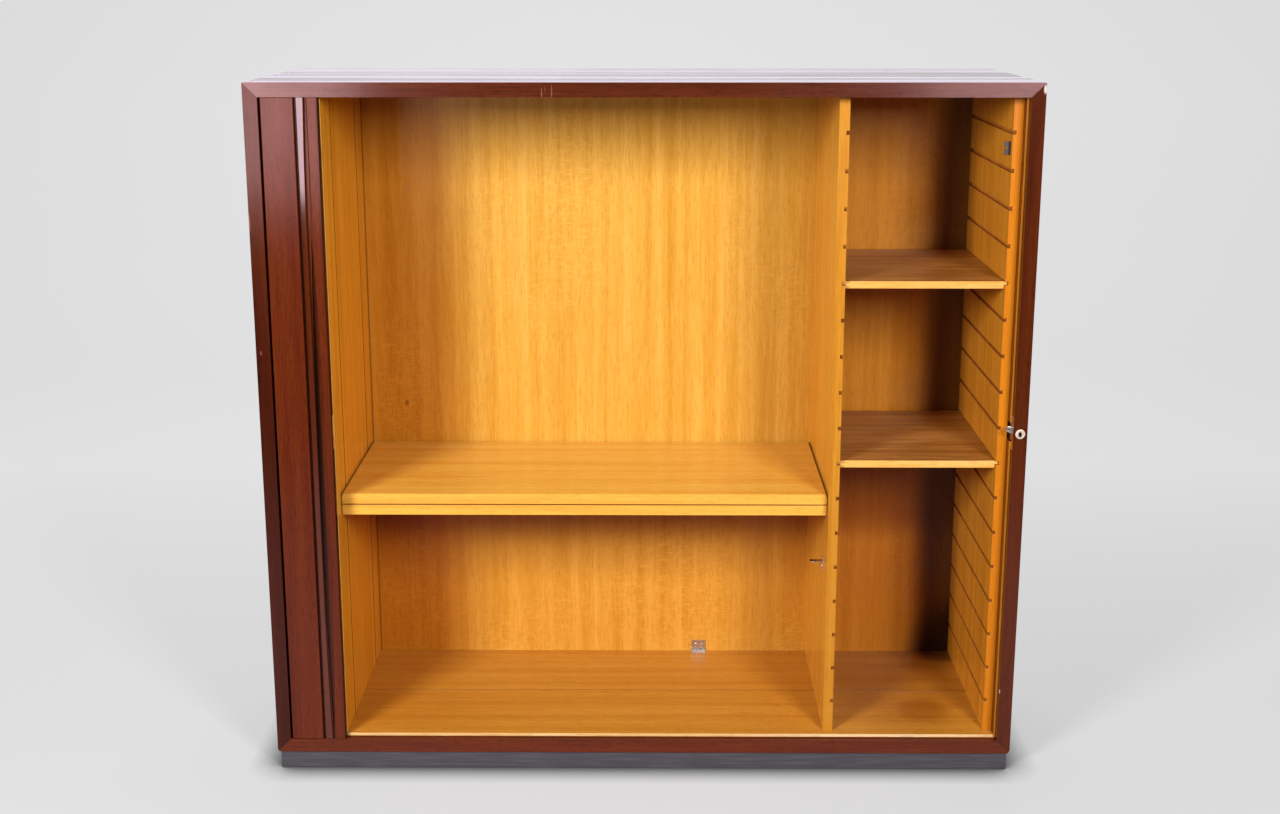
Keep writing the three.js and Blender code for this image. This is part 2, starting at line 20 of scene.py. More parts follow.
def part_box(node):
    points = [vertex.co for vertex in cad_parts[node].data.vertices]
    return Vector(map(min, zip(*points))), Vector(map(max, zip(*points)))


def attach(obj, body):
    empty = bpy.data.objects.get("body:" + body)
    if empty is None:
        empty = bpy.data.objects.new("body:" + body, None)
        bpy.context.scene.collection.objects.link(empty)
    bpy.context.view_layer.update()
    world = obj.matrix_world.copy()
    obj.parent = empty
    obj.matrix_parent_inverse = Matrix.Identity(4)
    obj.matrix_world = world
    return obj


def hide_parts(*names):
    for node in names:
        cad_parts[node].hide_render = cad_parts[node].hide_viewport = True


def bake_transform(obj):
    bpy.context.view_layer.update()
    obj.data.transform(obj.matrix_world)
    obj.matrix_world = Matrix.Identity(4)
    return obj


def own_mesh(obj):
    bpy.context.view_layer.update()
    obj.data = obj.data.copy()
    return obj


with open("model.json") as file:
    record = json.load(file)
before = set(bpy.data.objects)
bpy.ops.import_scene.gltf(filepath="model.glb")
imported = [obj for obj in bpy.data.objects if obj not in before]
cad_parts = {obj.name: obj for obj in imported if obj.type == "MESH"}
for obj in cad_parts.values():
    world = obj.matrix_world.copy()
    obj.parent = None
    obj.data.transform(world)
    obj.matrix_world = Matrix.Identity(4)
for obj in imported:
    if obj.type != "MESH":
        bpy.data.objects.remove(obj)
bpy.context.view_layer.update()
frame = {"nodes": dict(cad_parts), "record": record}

LOG = logging.getLogger("cabinet")
MM = 0.001
FULL_TURN = 2 * math.pi
# Points that are nearer than this are one point, and places that differ less are the same.
WELD = 0.002 * MM
SAME = 0.01 * MM
# How near a point of a CAD node lies to the face that it is on, with room for rounding.
NEAR = 0.1 * MM
# Triangles that meet flatter than this are one face, and arrises sharper than this are rounded.
FLAT_DEG = 0.5
SHARP_DEG = 30
# A face looks a given way if its normal has more than this of that direction.
LOOKS_THAT_WAY = 0.7
TO_RIGHT = (1, 0, 0)
TO_FRONT = (0, -1, 0)
UPWARD = (0, 0, 1)

Socket = bpy.types.NodeSocket
Tree = bpy.types.NodeTree
Place = tuple[float, float, float]
Colour = tuple[float, float, float, float]


def linear(code: str) -> Colour:
    """Turns an sRGB hex colour to the linear colour that a shader takes.

    Args:
        code: Six hex digits with a leading hash sign.

    Returns:
        Linear red, green and blue, and an alpha of 1.
    """
    channels = [int(code[i:i + 2], 16) / 255 for i in (1, 3, 5)]
    curved = [c / 12.92 if c <= 0.04045 else ((c + 0.055) / 1.055) ** 2.4 for c in channels]
    return (*curved, 1.0)


def add_node(
    tree: Tree,
    kind: str,
    inputs: dict[str | int, object] | None = None,
    stops: Sequence[tuple[float, str]] = (),
    **settings: object,
) -> bpy.types.Node:
    """Adds a node with its settings, and fills or links its inputs.

    Args:
        tree: The node tree that gets the node.
        kind: The node's type name.
        inputs: A value or an output socket for each named or numbered input.
        stops: Position and hex colour of each stop, on a colour ramp.
        **settings: The node's own options.

    Returns:
        The new node.
    """
    node = tree.nodes.new(kind)
    for name, value in settings.items():
        setattr(node, name, value)
    for key, value in (inputs or {}).items():
        if isinstance(value, Socket):
            tree.links.new(value, node.inputs[key])
        else:
            node.inputs[key].default_value = value
    for index, (position, code) in enumerate(stops):
        ramp = node.color_ramp.elements
        stop = ramp[index] if index < 2 else ramp.new(position)
        stop.position = position
        stop.color = linear(code)
    return node


def fresh_material(name: str) -> tuple[bpy.types.Material, Tree]:
    """Makes an empty node material.

    Args:
        name: The material's name.

    Returns:
        The material and its cleared node tree.
    """
    material = bpy.data.materials.new(name)
    material.use_nodes = True
    material.node_tree.nodes.clear()
    return material, material.node_tree


class Grain(Enum):
    """The way that the fibres of a board run."""

    ACROSS = (1, 0, 0)
    UPRIGHT = (0, 0, 1)

    def scale(self, width_mm: float, run_mm: float) -> Place:
        """Scale that makes one noise cell width_mm wide and run_mm long.

        Args:
            width_mm: Size of a cell across the fibres.
            run_mm: Size of a cell along the fibres.

        Returns:
            The scale for a Mapping node on coordinates in metres.
        """
        return tuple(1 / (MM * (run_mm if along else width_mm)) for along in self.value)

    def crossing(self) -> Place:
        """A direction across the fibres, a little turned so that it lies on no face's normal."""
        return (self.value[2], 0.2, self.value[0])


@dataclass(frozen=True)
class Mark:
    """A knot, chip, scratch, stained patch or painted shade on a surface, as a soft-edged ellipsoid.

    Attributes:
        node: The CAD node that its place is measured on.
        offset_mm: Its middle, from that node's corner with the least X, Y and Z.
        size_mm: Its half sizes along X, Y and Z.
        colour: Its sRGB hex colour.
        strength: How much it covers, from 0 to 1.
        ragged: How much its outline wanders, from 0 to 1.
        stain_or_shade: True where it colours the wood and leaves the grain to see.
    """

    node: str
    offset_mm: Place
    size_mm: Place
    colour: str
    strength: float = 0.8
    ragged: float = 0.35
    stain_or_shade: bool = False

    def place(self) -> Place:
        """Its middle in the frame, in metres."""
        corner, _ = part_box(self.node)
        return tuple(corner + MM * Vector(self.offset_mm))


# Distances from a mark's middle, in its half sizes, where it begins and where it is whole.
MARK_EDGE = (1.0, 0.45)
# Cells of the noise that bends a mark's outline, over one half size.
RAGGED_CELLS = 1.7


def noise(tree: Tree, place: Socket, scale: Place, **inputs: float) -> Socket:
    """Noise whose cells have the given scale on coordinates in metres.

    Args:
        tree: The material's node tree.
        place: The coordinates.
        scale: Scale along X, Y and Z.
        **inputs: Values for the noise node's own inputs.

    Returns:
        The noise factor's socket.
    """
    mapped = add_node(tree, "ShaderNodeMapping", {"Vector": place, "Scale": scale})
    values = {"Vector": mapped.outputs[0], "Scale": 1.0, **inputs}
    return add_node(tree, "ShaderNodeTexNoise", values).outputs[0]


def layered(
    tree: Tree,
    colour: Socket | Colour,
    code: str,
    value: Socket,
    levels: tuple[float, float],
    depth: Socket | float,
    stain_or_shade: bool = False,
) -> Socket:
    """The colour with another laid over it where a value passes from one level to another.

    Args:
        tree: The material's node tree.
        colour: The colour so far.
        code: The other colour, as sRGB hex.
        value: The value.
        levels: Where the other colour begins and where it is at its full depth.
        depth: Its full depth, from 0 to 1.
        stain_or_shade: True to multiply the two colours, False to cover the first.

    Returns:
        The new colour's socket.
    """
    mask = add_node(
        tree,
        "ShaderNodeMapRange",
        {"Value": value, "From Min": levels[0], "From Max": levels[1], "To Max": depth},
        interpolation_type="SMOOTHSTEP",
    ).outputs[0]
    mixed = add_node(
        tree, "ShaderNodeMix", {0: mask, 6: colour, 7: linear(code)},
        data_type="RGBA", blend_type="MULTIPLY" if stain_or_shade else "MIX",
    )
    return mixed.outputs[2]


def marked(tree: Tree, surface: Socket, colour: Socket | Colour, mark: Mark) -> Socket:
    """The colour with one mark laid over it.

    Args:
        tree: The material's node tree.
        surface: Object coordinates, in metres.
        colour: The colour so far.
        mark: The knot, chip, scratch, stained patch or patch of painted shade.

    Returns:
        The new colour's socket.
    """
    local = add_node(
        tree,
        "ShaderNodeMapping",
        {"Vector": surface, "Location": mark.place(), "Scale": tuple(MM * s for s in mark.size_mm)},
        vector_type="TEXTURE",
    ).outputs[0]
    ragged = add_node(
        tree, "ShaderNodeTexNoise", {"Vector": local, "Scale": RAGGED_CELLS, "Detail": 2.0}
    ).outputs["Color"]
    bent = add_node(
        tree, "ShaderNodeMix", {0: mark.ragged, 4: local, 5: ragged}, data_type="VECTOR"
    ).outputs[1]
    away = add_node(tree, "ShaderNodeVectorMath", {0: bent}, operation="LENGTH").outputs["Value"]
    return layered(tree, colour, mark.colour, away, MARK_EDGE, mark.strength, mark.stain_or_shade)


# Levels of the noise between which each layer of a timber goes from nothing to its depth.
FIBRE_LEVELS = (0.50, 0.68)
FLECK_LEVELS = (0.48, 0.30)
PORE_LEVELS = (0.56, 0.66)
FIGURE_LEVELS = (0.45, 0.68)
PATCH_LEVELS = (0.42, 0.62)
DUST_LEVELS = (0.42, 0.58)
WEAR_LEVELS = (0.3, 0.7)
# Levels of the bands' noise that take the deep, the middle and the pale colour.
DEEP_LEVEL, MID_LEVEL, PALE_LEVEL = 0.26, 0.49, 0.74
# Width and run of the patches that have cross figure, and of those that are worn smoother.
PATCH_MM = (260.0, 420.0)
WEAR_MM = (70.0, 160.0)


@dataclass(frozen=True)
class Timber:
    """Veneer or solid wood under lacquer, with its bands, fibres, pores and cross figure.

    Attributes:
        name: The finish's name.
        pale: Colour of the palest bands.
        mid: Colour between them.
        deep: Colour of the darkest bands.
        pore: Colour in the pores.
        band_mm: Width and run of the growth bands.
        fibre_mm: Width and run of the fibres.
        pore_mm: Width and run of the pores.
        figure_mm: Width and run of the cross figure.
        fibre_depth: How much the fibres darken and the flecks lighten, from 0 to 1.
        pore_depth: How much the pores darken, from 0 to 1.
        figure_depth: How much the cross figure lightens, from 0 to 1.
        roughness: Least and greatest roughness of the lacquer.
        gloss: Strength of the mirror reflection, 0.5 for clear lacquer.
        relief_mm: Depth of the relief that the fibres leave in the lacquer.
        stretch: How much the fibres stretch a highlight across them, from 0 to 1.
        dust: Mean strength of the pale film that shows at a low angle, wiped off in bands.
        cast: Colour of the highlights and the film.
    """

    name: str
    pale: str
    mid: str
    deep: str
    pore: str
    band_mm: tuple[float, float]
    fibre_mm: tuple[float, float]
    pore_mm: tuple[float, float]
    figure_mm: tuple[float, float]
    fibre_depth: float
    pore_depth: float
    figure_depth: float
    roughness: tuple[float, float]
    gloss: float
    relief_mm: float
    stretch: float = 0.0
    dust: float = 0.0
    cast: str = "#ffffff"

    def material(
        self, grain: Grain, shift_mm: Place = (0, 0, 0), marks: Iterable[Mark] = ()
    ) -> bpy.types.Material:
        """Makes the material for a board.

        Args:
            grain: The way that the fibres run.
            shift_mm: Moves the pattern, so that neighbouring boards differ.
            marks: Knots, chips, scratches, stains and painted shade on the board.

        Returns:
            The material.
        """
        material, tree = fresh_material(f"{self.name}_{grain.name.lower()}")
        surface = add_node(tree, "ShaderNodeTexCoord").outputs["Object"]
        shift = tuple(MM * s for s in shift_mm)
        moved = add_node(tree, "ShaderNodeMapping", {"Vector": surface, "Location": shift}).outputs[0]
        bands = noise(tree, moved, grain.scale(*self.band_mm), Detail=4.0, Distortion=0.35)
        fibres = noise(tree, moved, grain.scale(*self.fibre_mm), Detail=2.0)
        colour = self.wood(tree, grain, moved, bands, fibres)
        for mark in marks:
            colour = marked(tree, surface, colour, mark)
        shader = self.lacquer(tree, grain, surface, colour, bands, fibres)
        add_node(tree, "ShaderNodeOutputMaterial", {"Surface": shader.outputs[0]})
        return material

    def wood(
        self, tree: Tree, grain: Grain, place: Socket, bands: Socket, fibres: Socket
    ) -> Socket:
        """The colour of the wood: its bands, with fibres, flecks, cross figure and pores.

        Args:
            tree: The material's node tree.
            grain: The way that the fibres run.
            place: The pattern's coordinates.
            bands: Noise of the growth bands.
            fibres: Noise of the fibres.

        Returns:
            The colour's socket.
        """
        pores = noise(tree, place, grain.scale(*self.pore_mm), Detail=1.0)
        figure = noise(tree, place, grain.scale(*self.figure_mm), Detail=2.0, Distortion=0.8)
        patches = noise(tree, place, grain.scale(*PATCH_MM), Detail=1.0)
        colour = add_node(
            tree,
            "ShaderNodeValToRGB",
            {"Fac": bands},
            stops=((DEEP_LEVEL, self.deep), (PALE_LEVEL, self.pale), (MID_LEVEL, self.mid)),
        ).outputs[0]
        figured = add_node(
            tree,
            "ShaderNodeMapRange",
            {"Value": patches, "From Min": PATCH_LEVELS[0], "From Max": PATCH_LEVELS[1],
             "To Max": self.figure_depth},
            interpolation_type="SMOOTHSTEP",
        ).outputs[0]
        for code, value, levels, depth in (
            (self.deep, fibres, FIBRE_LEVELS, self.fibre_depth),
            (self.pale, fibres, FLECK_LEVELS, self.fibre_depth),
            (self.pale, figure, FIGURE_LEVELS, figured),
            (self.pore, pores, PORE_LEVELS, self.pore_depth),
        ):
            colour = layered(tree, colour, code, value, levels, depth)
        return colour

    def lacquer(
        self,
        tree: Tree,
        grain: Grain,
        surface: Socket,
        colour: Socket,
        bands: Socket,
        fibres: Socket,
    ) -> bpy.types.Node:
        """The lacquered surface: worn smoother in places, and dusty in bands if it has dust.

        Args:
            tree: The material's node tree.
            grain: The way that the fibres run.
            surface: Object coordinates, in metres.
            colour: The wood's colour with its marks.
            bands: Noise of the growth bands.
            fibres: Noise of the fibres.

        Returns:
            The shader's node.
        """
        wear = noise(tree, surface, grain.scale(*WEAR_MM), Detail=3.0)
        rough = add_node(
            tree,
            "ShaderNodeMapRange",
            {"Value": wear, "From Min": WEAR_LEVELS[0], "From Max": WEAR_LEVELS[1],
             "To Min": self.roughness[0], "To Max": self.roughness[1]},
        ).outputs[0]
        relief = add_node(
            tree,
            "ShaderNodeBump",
            {"Height": fibres, "Strength": 0.35, "Distance": self.relief_mm * MM},
        ).outputs[0]
        cast = linear(self.cast)
        shader = add_node(
            tree,
            "ShaderNodeBsdfPrincipled",
            {"Base Color": colour, "Roughness": rough, "Normal": relief, "IOR": 1.5,
             "Specular IOR Level": self.gloss, "Specular Tint": cast,
             "Anisotropic": self.stretch, "Sheen Roughness": 0.4, "Sheen Tint": cast},
        )
        if self.dust:
            wiped = add_node(
                tree,
                "ShaderNodeMapRange",
                {"Value": bands, "From Min": DUST_LEVELS[0], "From Max": DUST_LEVELS[1],
                 "To Max": 2 * self.dust},
                interpolation_type="SMOOTHSTEP",
            )
            tree.links.new(wiped.outputs[0], shader.inputs["Sheen Weight"])
        if self.stretch:
            over = add_node(tree, "ShaderNodeCombineXYZ", dict(enumerate(grain.crossing())))
            tree.links.new(over.outputs[0], shader.inputs["Tangent"])
        return shader


# Mahogany veneer, polished with lacquer: deep red brown with fine dark pore dashes, and a
# hazy sheen where the lamps meet it. The pores are drawn about twice their real width,
# because real ones are finer than the render shows.
MAHOGANY = Timber(
    name="mahogany_polished",
    pale="#58240a", mid="#4e1d07", deep="#411604", pore="#280b02",
    band_mm=(26.0, 700.0), fibre_mm=(2.4, 90.0), pore_mm=(1.6, 15.0), figure_mm=(40.0, 12.0),
    fibre_depth=0.35, pore_depth=0.35, figure_depth=0.12,
    roughness=(0.19, 0.25), gloss=0.36, relief_mm=0.02, stretch=0.75, cast="#ffd2d8",
)
# The same veneer on the upper front, where the lamps leave a broad salmon sheen.
MAHOGANY_RAIL = replace(
    MAHOGANY, name="mahogany_upper_front", fibre_depth=0.6, pore_depth=0.5, gloss=0.75,
)
# The same veneer at the left, a redder leaf.
MAHOGANY_RED = replace(
    MAHOGANY, name="mahogany_red_leaf", pale="#652a0b", mid="#5a2009", deep="#4c1706",
)
# The same veneer on the base board, browner and a little faded.
MAHOGANY_BASE = replace(
    MAHOGANY, name="mahogany_base", pale="#6e2d10", mid="#5f240a", deep="#4c1a06",
)
# The same veneer on the top, where years of dusting have rubbed it up: at a low angle it
# mirrors the room, and a pale film shows in long streaks.
MAHOGANY_TOP = replace(
    MAHOGANY, name="mahogany_rubbed_top", roughness=(0.08, 0.15), gloss=0.5, relief_mm=0.05,
    stretch=0.0, dust=0.15, cast="#ecd8f4", band_mm=(50.0, 2600.0),
)
# The same wood on the grip, polished by hands.
MAHOGANY_GRIP = replace(
    MAHOGANY, name="mahogany_grip", roughness=(0.06, 0.09), gloss=0.62, relief_mm=0.004,
    stretch=0.3, cast="#ffe6f2",
)
# The same wood on the rail's right side, which shuts against the lock: darker, as painted
# shade for that side, and with little shine.
MAHOGANY_SHADED_SIDE = replace(
    MAHOGANY, name="mahogany_rail_side_shade", pale="#451a08", mid="#3a1505", deep="#2e1003", gloss=0.1,
)

# Ash veneer under satin lacquer that has yellowed: warm honey with long fine streaks, short
# pale flecks and a faint cross figure. The fibres are drawn coarser than real ones.
ASH = Timber(
    name="ash_satin",
    pale="#e4ac4e", mid="#d79c3a", deep="#ca8c2a", pore="#a06418",
    band_mm=(20.0, 800.0), fibre_mm=(4.0, 60.0), pore_mm=(2.4, 20.0), figure_mm=(13.0, 4.0),
    fibre_depth=0.35, pore_depth=0.20, figure_depth=0.6,
    roughness=(0.24, 0.34), gloss=0.22, relief_mm=0.02,
)
# The same veneer on the wall beside the curtain: plain, and more orange as painted shade.
ASH_WALL = replace(
    ASH, name="ash_wall", pale="#ffb63a", mid="#faa424", deep="#f09418", pore="#b06810",
    fibre_depth=0.3, figure_depth=0.1, roughness=(0.16, 0.26), gloss=0.5,
)
# The same veneer on the main shelf: paler, as painted light on its top, and with more shine.
ASH_SHELF = replace(
    ASH, name="ash_shelf", pale="#ffc85c", mid="#fab848", deep="#efa636", pore="#b87418",
    fibre_depth=0.3, figure_depth=0.2, roughness=(0.14, 0.22), gloss=0.5,
)
# The same veneer on the side shelves: browned and rubbed dull.
ASH_WORN = replace(
    ASH, name="ash_worn", pale="#cc8c44", mid="#ae6d29", deep="#8c5016",
    fibre_depth=0.6, figure_depth=0.2, roughness=(0.35, 0.5), gloss=0.45,
)
# The same veneer on the floor: darker and duller.
ASH_FLOOR = replace(
    ASH, name="ash_worn_floor", pale="#dc9838", mid="#d08a2c", deep="#c27a20", pore="#8e5010",
    fibre_depth=0.3, figure_depth=0.3, roughness=(0.24, 0.38), gloss=0.5,
)
# Solid ash lipping on the upright edges, deeper in colour than the veneer.
ASH_LIPPING = replace(
    ASH, name="ash_lipping", pale="#ca882c", mid="#be7a1e", deep="#b06c16", figure_depth=0.1,
)
# The divider's face: lipping colour, with more shine.
ASH_DIVIDER = replace(
    ASH_LIPPING, name="ash_divider", pale="#fab446", mid="#f0a432", deep="#e09222",
    roughness=(0.16, 0.26), fibre_depth=0.3, gloss=0.5,
)
# The floor's front edge, pale where the lacquer has worn off.
ASH_BARE = replace(
    ASH, name="ash_bare_edge", pale="#eecb9c", mid="#e0b478", deep="#cc9856", figure_depth=0.0,
    roughness=(0.4, 0.5),
)
# The inside of the shelf grooves: darker, as painted shade in the recesses.
ASH_GROOVE = replace(
    ASH, name="ash_in_grooves", pale="#cc7e34", mid="#be7028", deep="#aa601c", pore="#84480e",
    figure_depth=0.0, roughness=(0.5, 0.6), gloss=0.2,
)
# The front edges of the side shelves and of the wall beside the curtain: as bare, but yellower.
ASH_YELLOWED = replace(
    ASH_BARE, name="ash_yellowed_edge", pale="#f4be70", mid="#e8aa54", deep="#d0903a",
)
# The main shelf's lacquered front edges.
ASH_SHELF_FRONT = replace(
    ASH, name="ash_main_shelf_edge", pale="#f0b04c", mid="#e6a642", deep="#d89638",
    figure_depth=0.1, roughness=(0.2, 0.3),
)
# The grooved wall in the right bay, clear-lacquered.
ASH_GROOVED = replace(
    ASH, name="ash_grooved_wall", pale="#f2a538", mid="#e89628", deep="#d8861c", figure_depth=0.1,
    fibre_depth=0.3, roughness=(0.16, 0.26), gloss=0.5,
)
# The right wall's edge and the closing strip beside it: lipping stained orange, the strip red
# brown on its side and paler where it is rubbed at the front.
ASH_STAINED = replace(
    ASH_LIPPING, name="ash_stained_edge", pale="#cf7a14", mid="#c56e0c", deep="#b45e08",
)
STRIP_SIDE = replace(
    ASH_LIPPING, name="strip_stained_red", pale="#7e3407", mid="#6e2a05", deep="#5c2004",
)
STRIP_FRONT = replace(
    ASH_LIPPING, name="strip_rubbed_front", pale="#dc9030", mid="#cc7e22", deep="#b46812",
)

# Unfinished plywood at the back of the carcass: dry, pale brown and open in the grain.
PLYWOOD = Timber(
    name="plywood_unfinished",
    pale="#a87a4e", mid="#93653b", deep="#7c5230", pore="#5f3d22",
    band_mm=(60.0, 1400.0), fibre_mm=(3.0, 120.0), pore_mm=(2.2, 30.0), figure_mm=(90.0, 30.0),
    fibre_depth=0.5, pore_depth=0.5, figure_depth=0.2,
    roughness=(0.62, 0.78), gloss=0.3, relief_mm=0.15,
)


@dataclass(frozen=True)
class Paint:
    """Brushed paint on board, dulled and scuffed near the floor.

    Attributes:
        name: The finish's name.
        colour: The paint.
        worn: The colour where it is scuffed.
        roughness: Roughness of sound paint.
        scuffs_per_metre: How many scuffs fit in a metre along X, Y and Z.
        scuff_levels: Levels of the noise that take the paint's colour and the worn one.
        relief_mm: Depth of the scuffs.
    """

    name: str
    colour: str
    worn: str
    roughness: float
    scuffs_per_metre: Place = (14.0, 14.0, 260.0)
    scuff_levels: tuple[float, float] = (0.45, 0.85)
    relief_mm: float = 0.2

    def material(self) -> bpy.types.Material:
        """Makes the material.

        Returns:
            The material.
        """
        material, tree = fresh_material(self.name)
        surface = add_node(tree, "ShaderNodeTexCoord").outputs["Object"]
        scuffs = noise(tree, surface, self.scuffs_per_metre, Detail=5.0)
        colour = add_node(
            tree, "ShaderNodeValToRGB", {"Fac": scuffs},
            stops=tuple(zip(self.scuff_levels, (self.colour, self.worn))),
        ).outputs[0]
        relief = add_node(
            tree,
            "ShaderNodeBump",
            {"Height": scuffs, "Strength": 0.3, "Distance": self.relief_mm * MM},
        ).outputs[0]
        shader = add_node(
            tree, "ShaderNodeBsdfPrincipled",
            {"Base Color": colour, "Roughness": self.roughness, "Normal": relief},
        )
        add_node(tree, "ShaderNodeOutputMaterial", {"Surface": shader.outputs[0]})
        return material


@dataclass(frozen=True)
class Metal:
    """Small metal fittings, brushed or plated, with light handling marks.

    Attributes:
        name: The finish's name.
        colour: The metal's colour.
        roughness: Least and greatest roughness.
        brush_mm: Spacing of the brush lines.
        run: How many spacings long a line is.
        relief_mm: Depth of the lines.
    """

    name: str
    colour: str
    roughness: tuple[float, float]
    brush_mm: float
    run: float = 12.0
    relief_mm: float = 0.02

    def material(self, marks: Iterable[Mark] = ()) -> bpy.types.Material:
        """Makes the material.

        Args:
            marks: Dark openings, painted as the shade in them.

        Returns:
            The material.
        """
        material, tree = fresh_material(self.name)
        surface = add_node(tree, "ShaderNodeTexCoord").outputs["Object"]
        plated = linear(self.colour)
        for mark in marks:
            plated = marked(tree, surface, plated, mark)
        fine = 1 / (MM * self.brush_mm)
        lines = noise(tree, surface, (fine / self.run, fine, fine), Detail=2.0)
        rough = add_node(
            tree, "ShaderNodeMapRange",
            {"Value": lines, "To Min": self.roughness[0], "To Max": self.roughness[1]},
        ).outputs[0]
        relief = add_node(
            tree,
            "ShaderNodeBump",
            {"Height": lines, "Strength": 0.2, "Distance": self.relief_mm * MM},
        ).outputs[0]
        shader = add_node(
            tree, "ShaderNodeBsdfPrincipled",
            {"Base Color": plated, "Metallic": 1.0, "Roughness": rough, "Normal": relief},
        )
        add_node(tree, "ShaderNodeOutputMaterial", {"Surface": shader.outputs[0]})
        return material


# Dark grey paint on the plinth: matt, with pale horizontal scuffs.
PLINTH_PAINT = Paint("plinth_paint", colour="#403b41", worn="#555055", roughness=0.55)
# Nickel plate on the lock and the brackets: warm silver, softly bright.
NICKEL = Metal("nickel_plate", colour="#d2c7c0", roughness=(0.18, 0.36), brush_mm=0.4)
# The same plate on the lock's face, which handling has dulled to a creamy shine.
NICKEL_FACE = Metal("nickel_lock_face", colour="#eedcc8", roughness=(0.5, 0.6), brush_mm=0.4)
# Blackened steel on the clip and the lock's case: dark grey with a dull shine.
STEEL = Metal("steel_blackened", colour="#4c4648", roughness=(0.30, 0.50), brush_mm=0.6)


class Slot(Enum):
    """The record's material slots."""

    MAHOGANY = "mahogany"
    ASH = "ash"
    BACK_BOARD = "back_board"
    PLINTH = "plinth_paint"
    NICKEL = "nickel"
    STEEL = "steel"


def new_object(name: str, form: bmesh.types.BMesh) -> bpy.types.Object:
    """Makes an object from a bmesh and frees it.

    Args:
        name: The object's name.
        form: The finished bmesh, in the frame's metres.

    Returns:
        The object, linked to the scene.
    """
    mesh = bpy.data.meshes.new(name)
    form.to_mesh(mesh)
    form.free()
    piece = bpy.data.objects.new(name, mesh)
    bpy.context.scene.collection.objects.link(piece)
    return piece


def dress(
    piece: bpy.types.Object, material: bpy.types.Material, slot: Slot, *nodes: str
) -> bpy.types.Object:
    """Gives a new piece its material and hides the CAD nodes that it stands for.

    Args:
        piece: The piece.
        material: Its material.
        slot: Not used.
        *nodes: The CAD nodes that it replaces.

    Returns:
        The piece.
    """
    piece.data.materials.append(material)
    if nodes:
        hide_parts(*nodes)
    return piece


def board_form(node: str) -> bmesh.types.BMesh:
    """A bmesh of a CAD node with its triangles merged into clean faces.

    Args:
        node: The node's name.

    Returns:
        The bmesh, in the frame's metres.
    """
    form = bmesh.new()
    form.from_mesh(frame["nodes"][node].data)
    bmesh.ops.remove_doubles(form, verts=form.verts[:], dist=WELD)
    bmesh.ops.dissolve_limit(
        form, angle_limit=math.radians(FLAT_DEG), verts=form.verts[:], edges=form.edges[:]
    )
    return form


def soften(
    form: bmesh.types.BMesh,
    radius_mm: float,
    segments: int = 2,
    wanted: Callable[[bmesh.types.BMEdge], bool] | None = None,
) -> None:
    """Rounds the convex arrises of a form.

    Args:
        form: The form.
        radius_mm: Size of the rounding.
        segments: Faces across the rounding.
        wanted: Says which arrises are rounded, where it isn't all of them.
    """
    sharp = [
        edge for edge in form.edges
        if edge.is_manifold and edge.is_convex
        and edge.calc_face_angle() > math.radians(SHARP_DEG)
        and (wanted is None or wanted(edge))
    ]
    bmesh.ops.bevel(
        form, geom=sharp, offset=radius_mm * MM, offset_type="OFFSET", affect="EDGES",
        segments=segments, profile=0.5, material=-1, clamp_overlap=True,
    )


@dataclass
class Board:
    """A board of the frame, with softened arrises.

    Attributes:
        node: The CAD node that it stands for.
        body: The body that carries it.
        slot: The record's slot.
        arris_mm: Size of the rounding along its edges.
    """

    node: str
    body: str
    slot: Slot
    arris_mm: float

    def build(
        self,
        material: bpy.types.Material,
        other: bpy.types.Material | None = None,
        facing: Place = UPWARD,
    ) -> bpy.types.Object:
        """Builds the board.

        Args:
            material: Its finish.
            other: The finish of the faces on one side, where that differs.
            facing: The way that those faces look.

        Returns:
            The board's object.
        """
        form = board_form(self.node)
        self.shape(form)
        if other:
            for face in form.faces:
                face.material_index = int(face.normal.dot(facing) > LOOKS_THAT_WAY)
        piece = new_object(f"{self.node}_board", form)
        dress(piece, material, self.slot, self.node)
        if other:
            piece.data.materials.append(other)
        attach(piece, self.body)
        LOG.info("board %s on %s", self.node, self.body)
        return piece

    def shape(self, form: bmesh.types.BMesh) -> None:
        """Softens the board's arrises."""
        soften(form, self.arris_mm)


@dataclass
class GroovedBoard(Board):
    """A board with shelf grooves, whose insides have a darker finish as painted shade.

    Attributes:
        side: 1 where the grooves are in the face at greater X, -1 in the other.
        share: Part of the thickness that the grooves stay within.
        shallowest_mm: Depth past which a face is a groove's bottom and not the board's own.
    """

    side: int = 1
    share: float = 0.45
    shallowest_mm: float = 1.0

    def paint_groove_shade(self, piece: bpy.types.Object, material: bpy.types.Material) -> None:
        """Gives the inside of the grooves a darker finish of its own, as painted shade.

        Args:
            piece: The board's object.
            material: The finish.
        """
        low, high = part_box(self.node)
        face_x = high.x if self.side > 0 else low.x
        deepest = self.share * (high.x - low.x)
        piece.data.materials.append(material)
        last = len(piece.data.materials) - 1
        for face in piece.data.polygons:
            depth = abs(face.center.x - face_x)
            flank = abs(face.normal.z) > 0.5
            bottom = abs(face.normal.x) > 0.9 and depth > self.shallowest_mm * MM
            if depth < deepest and (flank or bottom):
                face.material_index = last
        LOG.info("grooves of %s shaded", self.node)


# Two opposite corners of the mitred carcass.
CARCASS_CORNERS = (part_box("bottom_panel")[0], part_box("top_panel")[1])


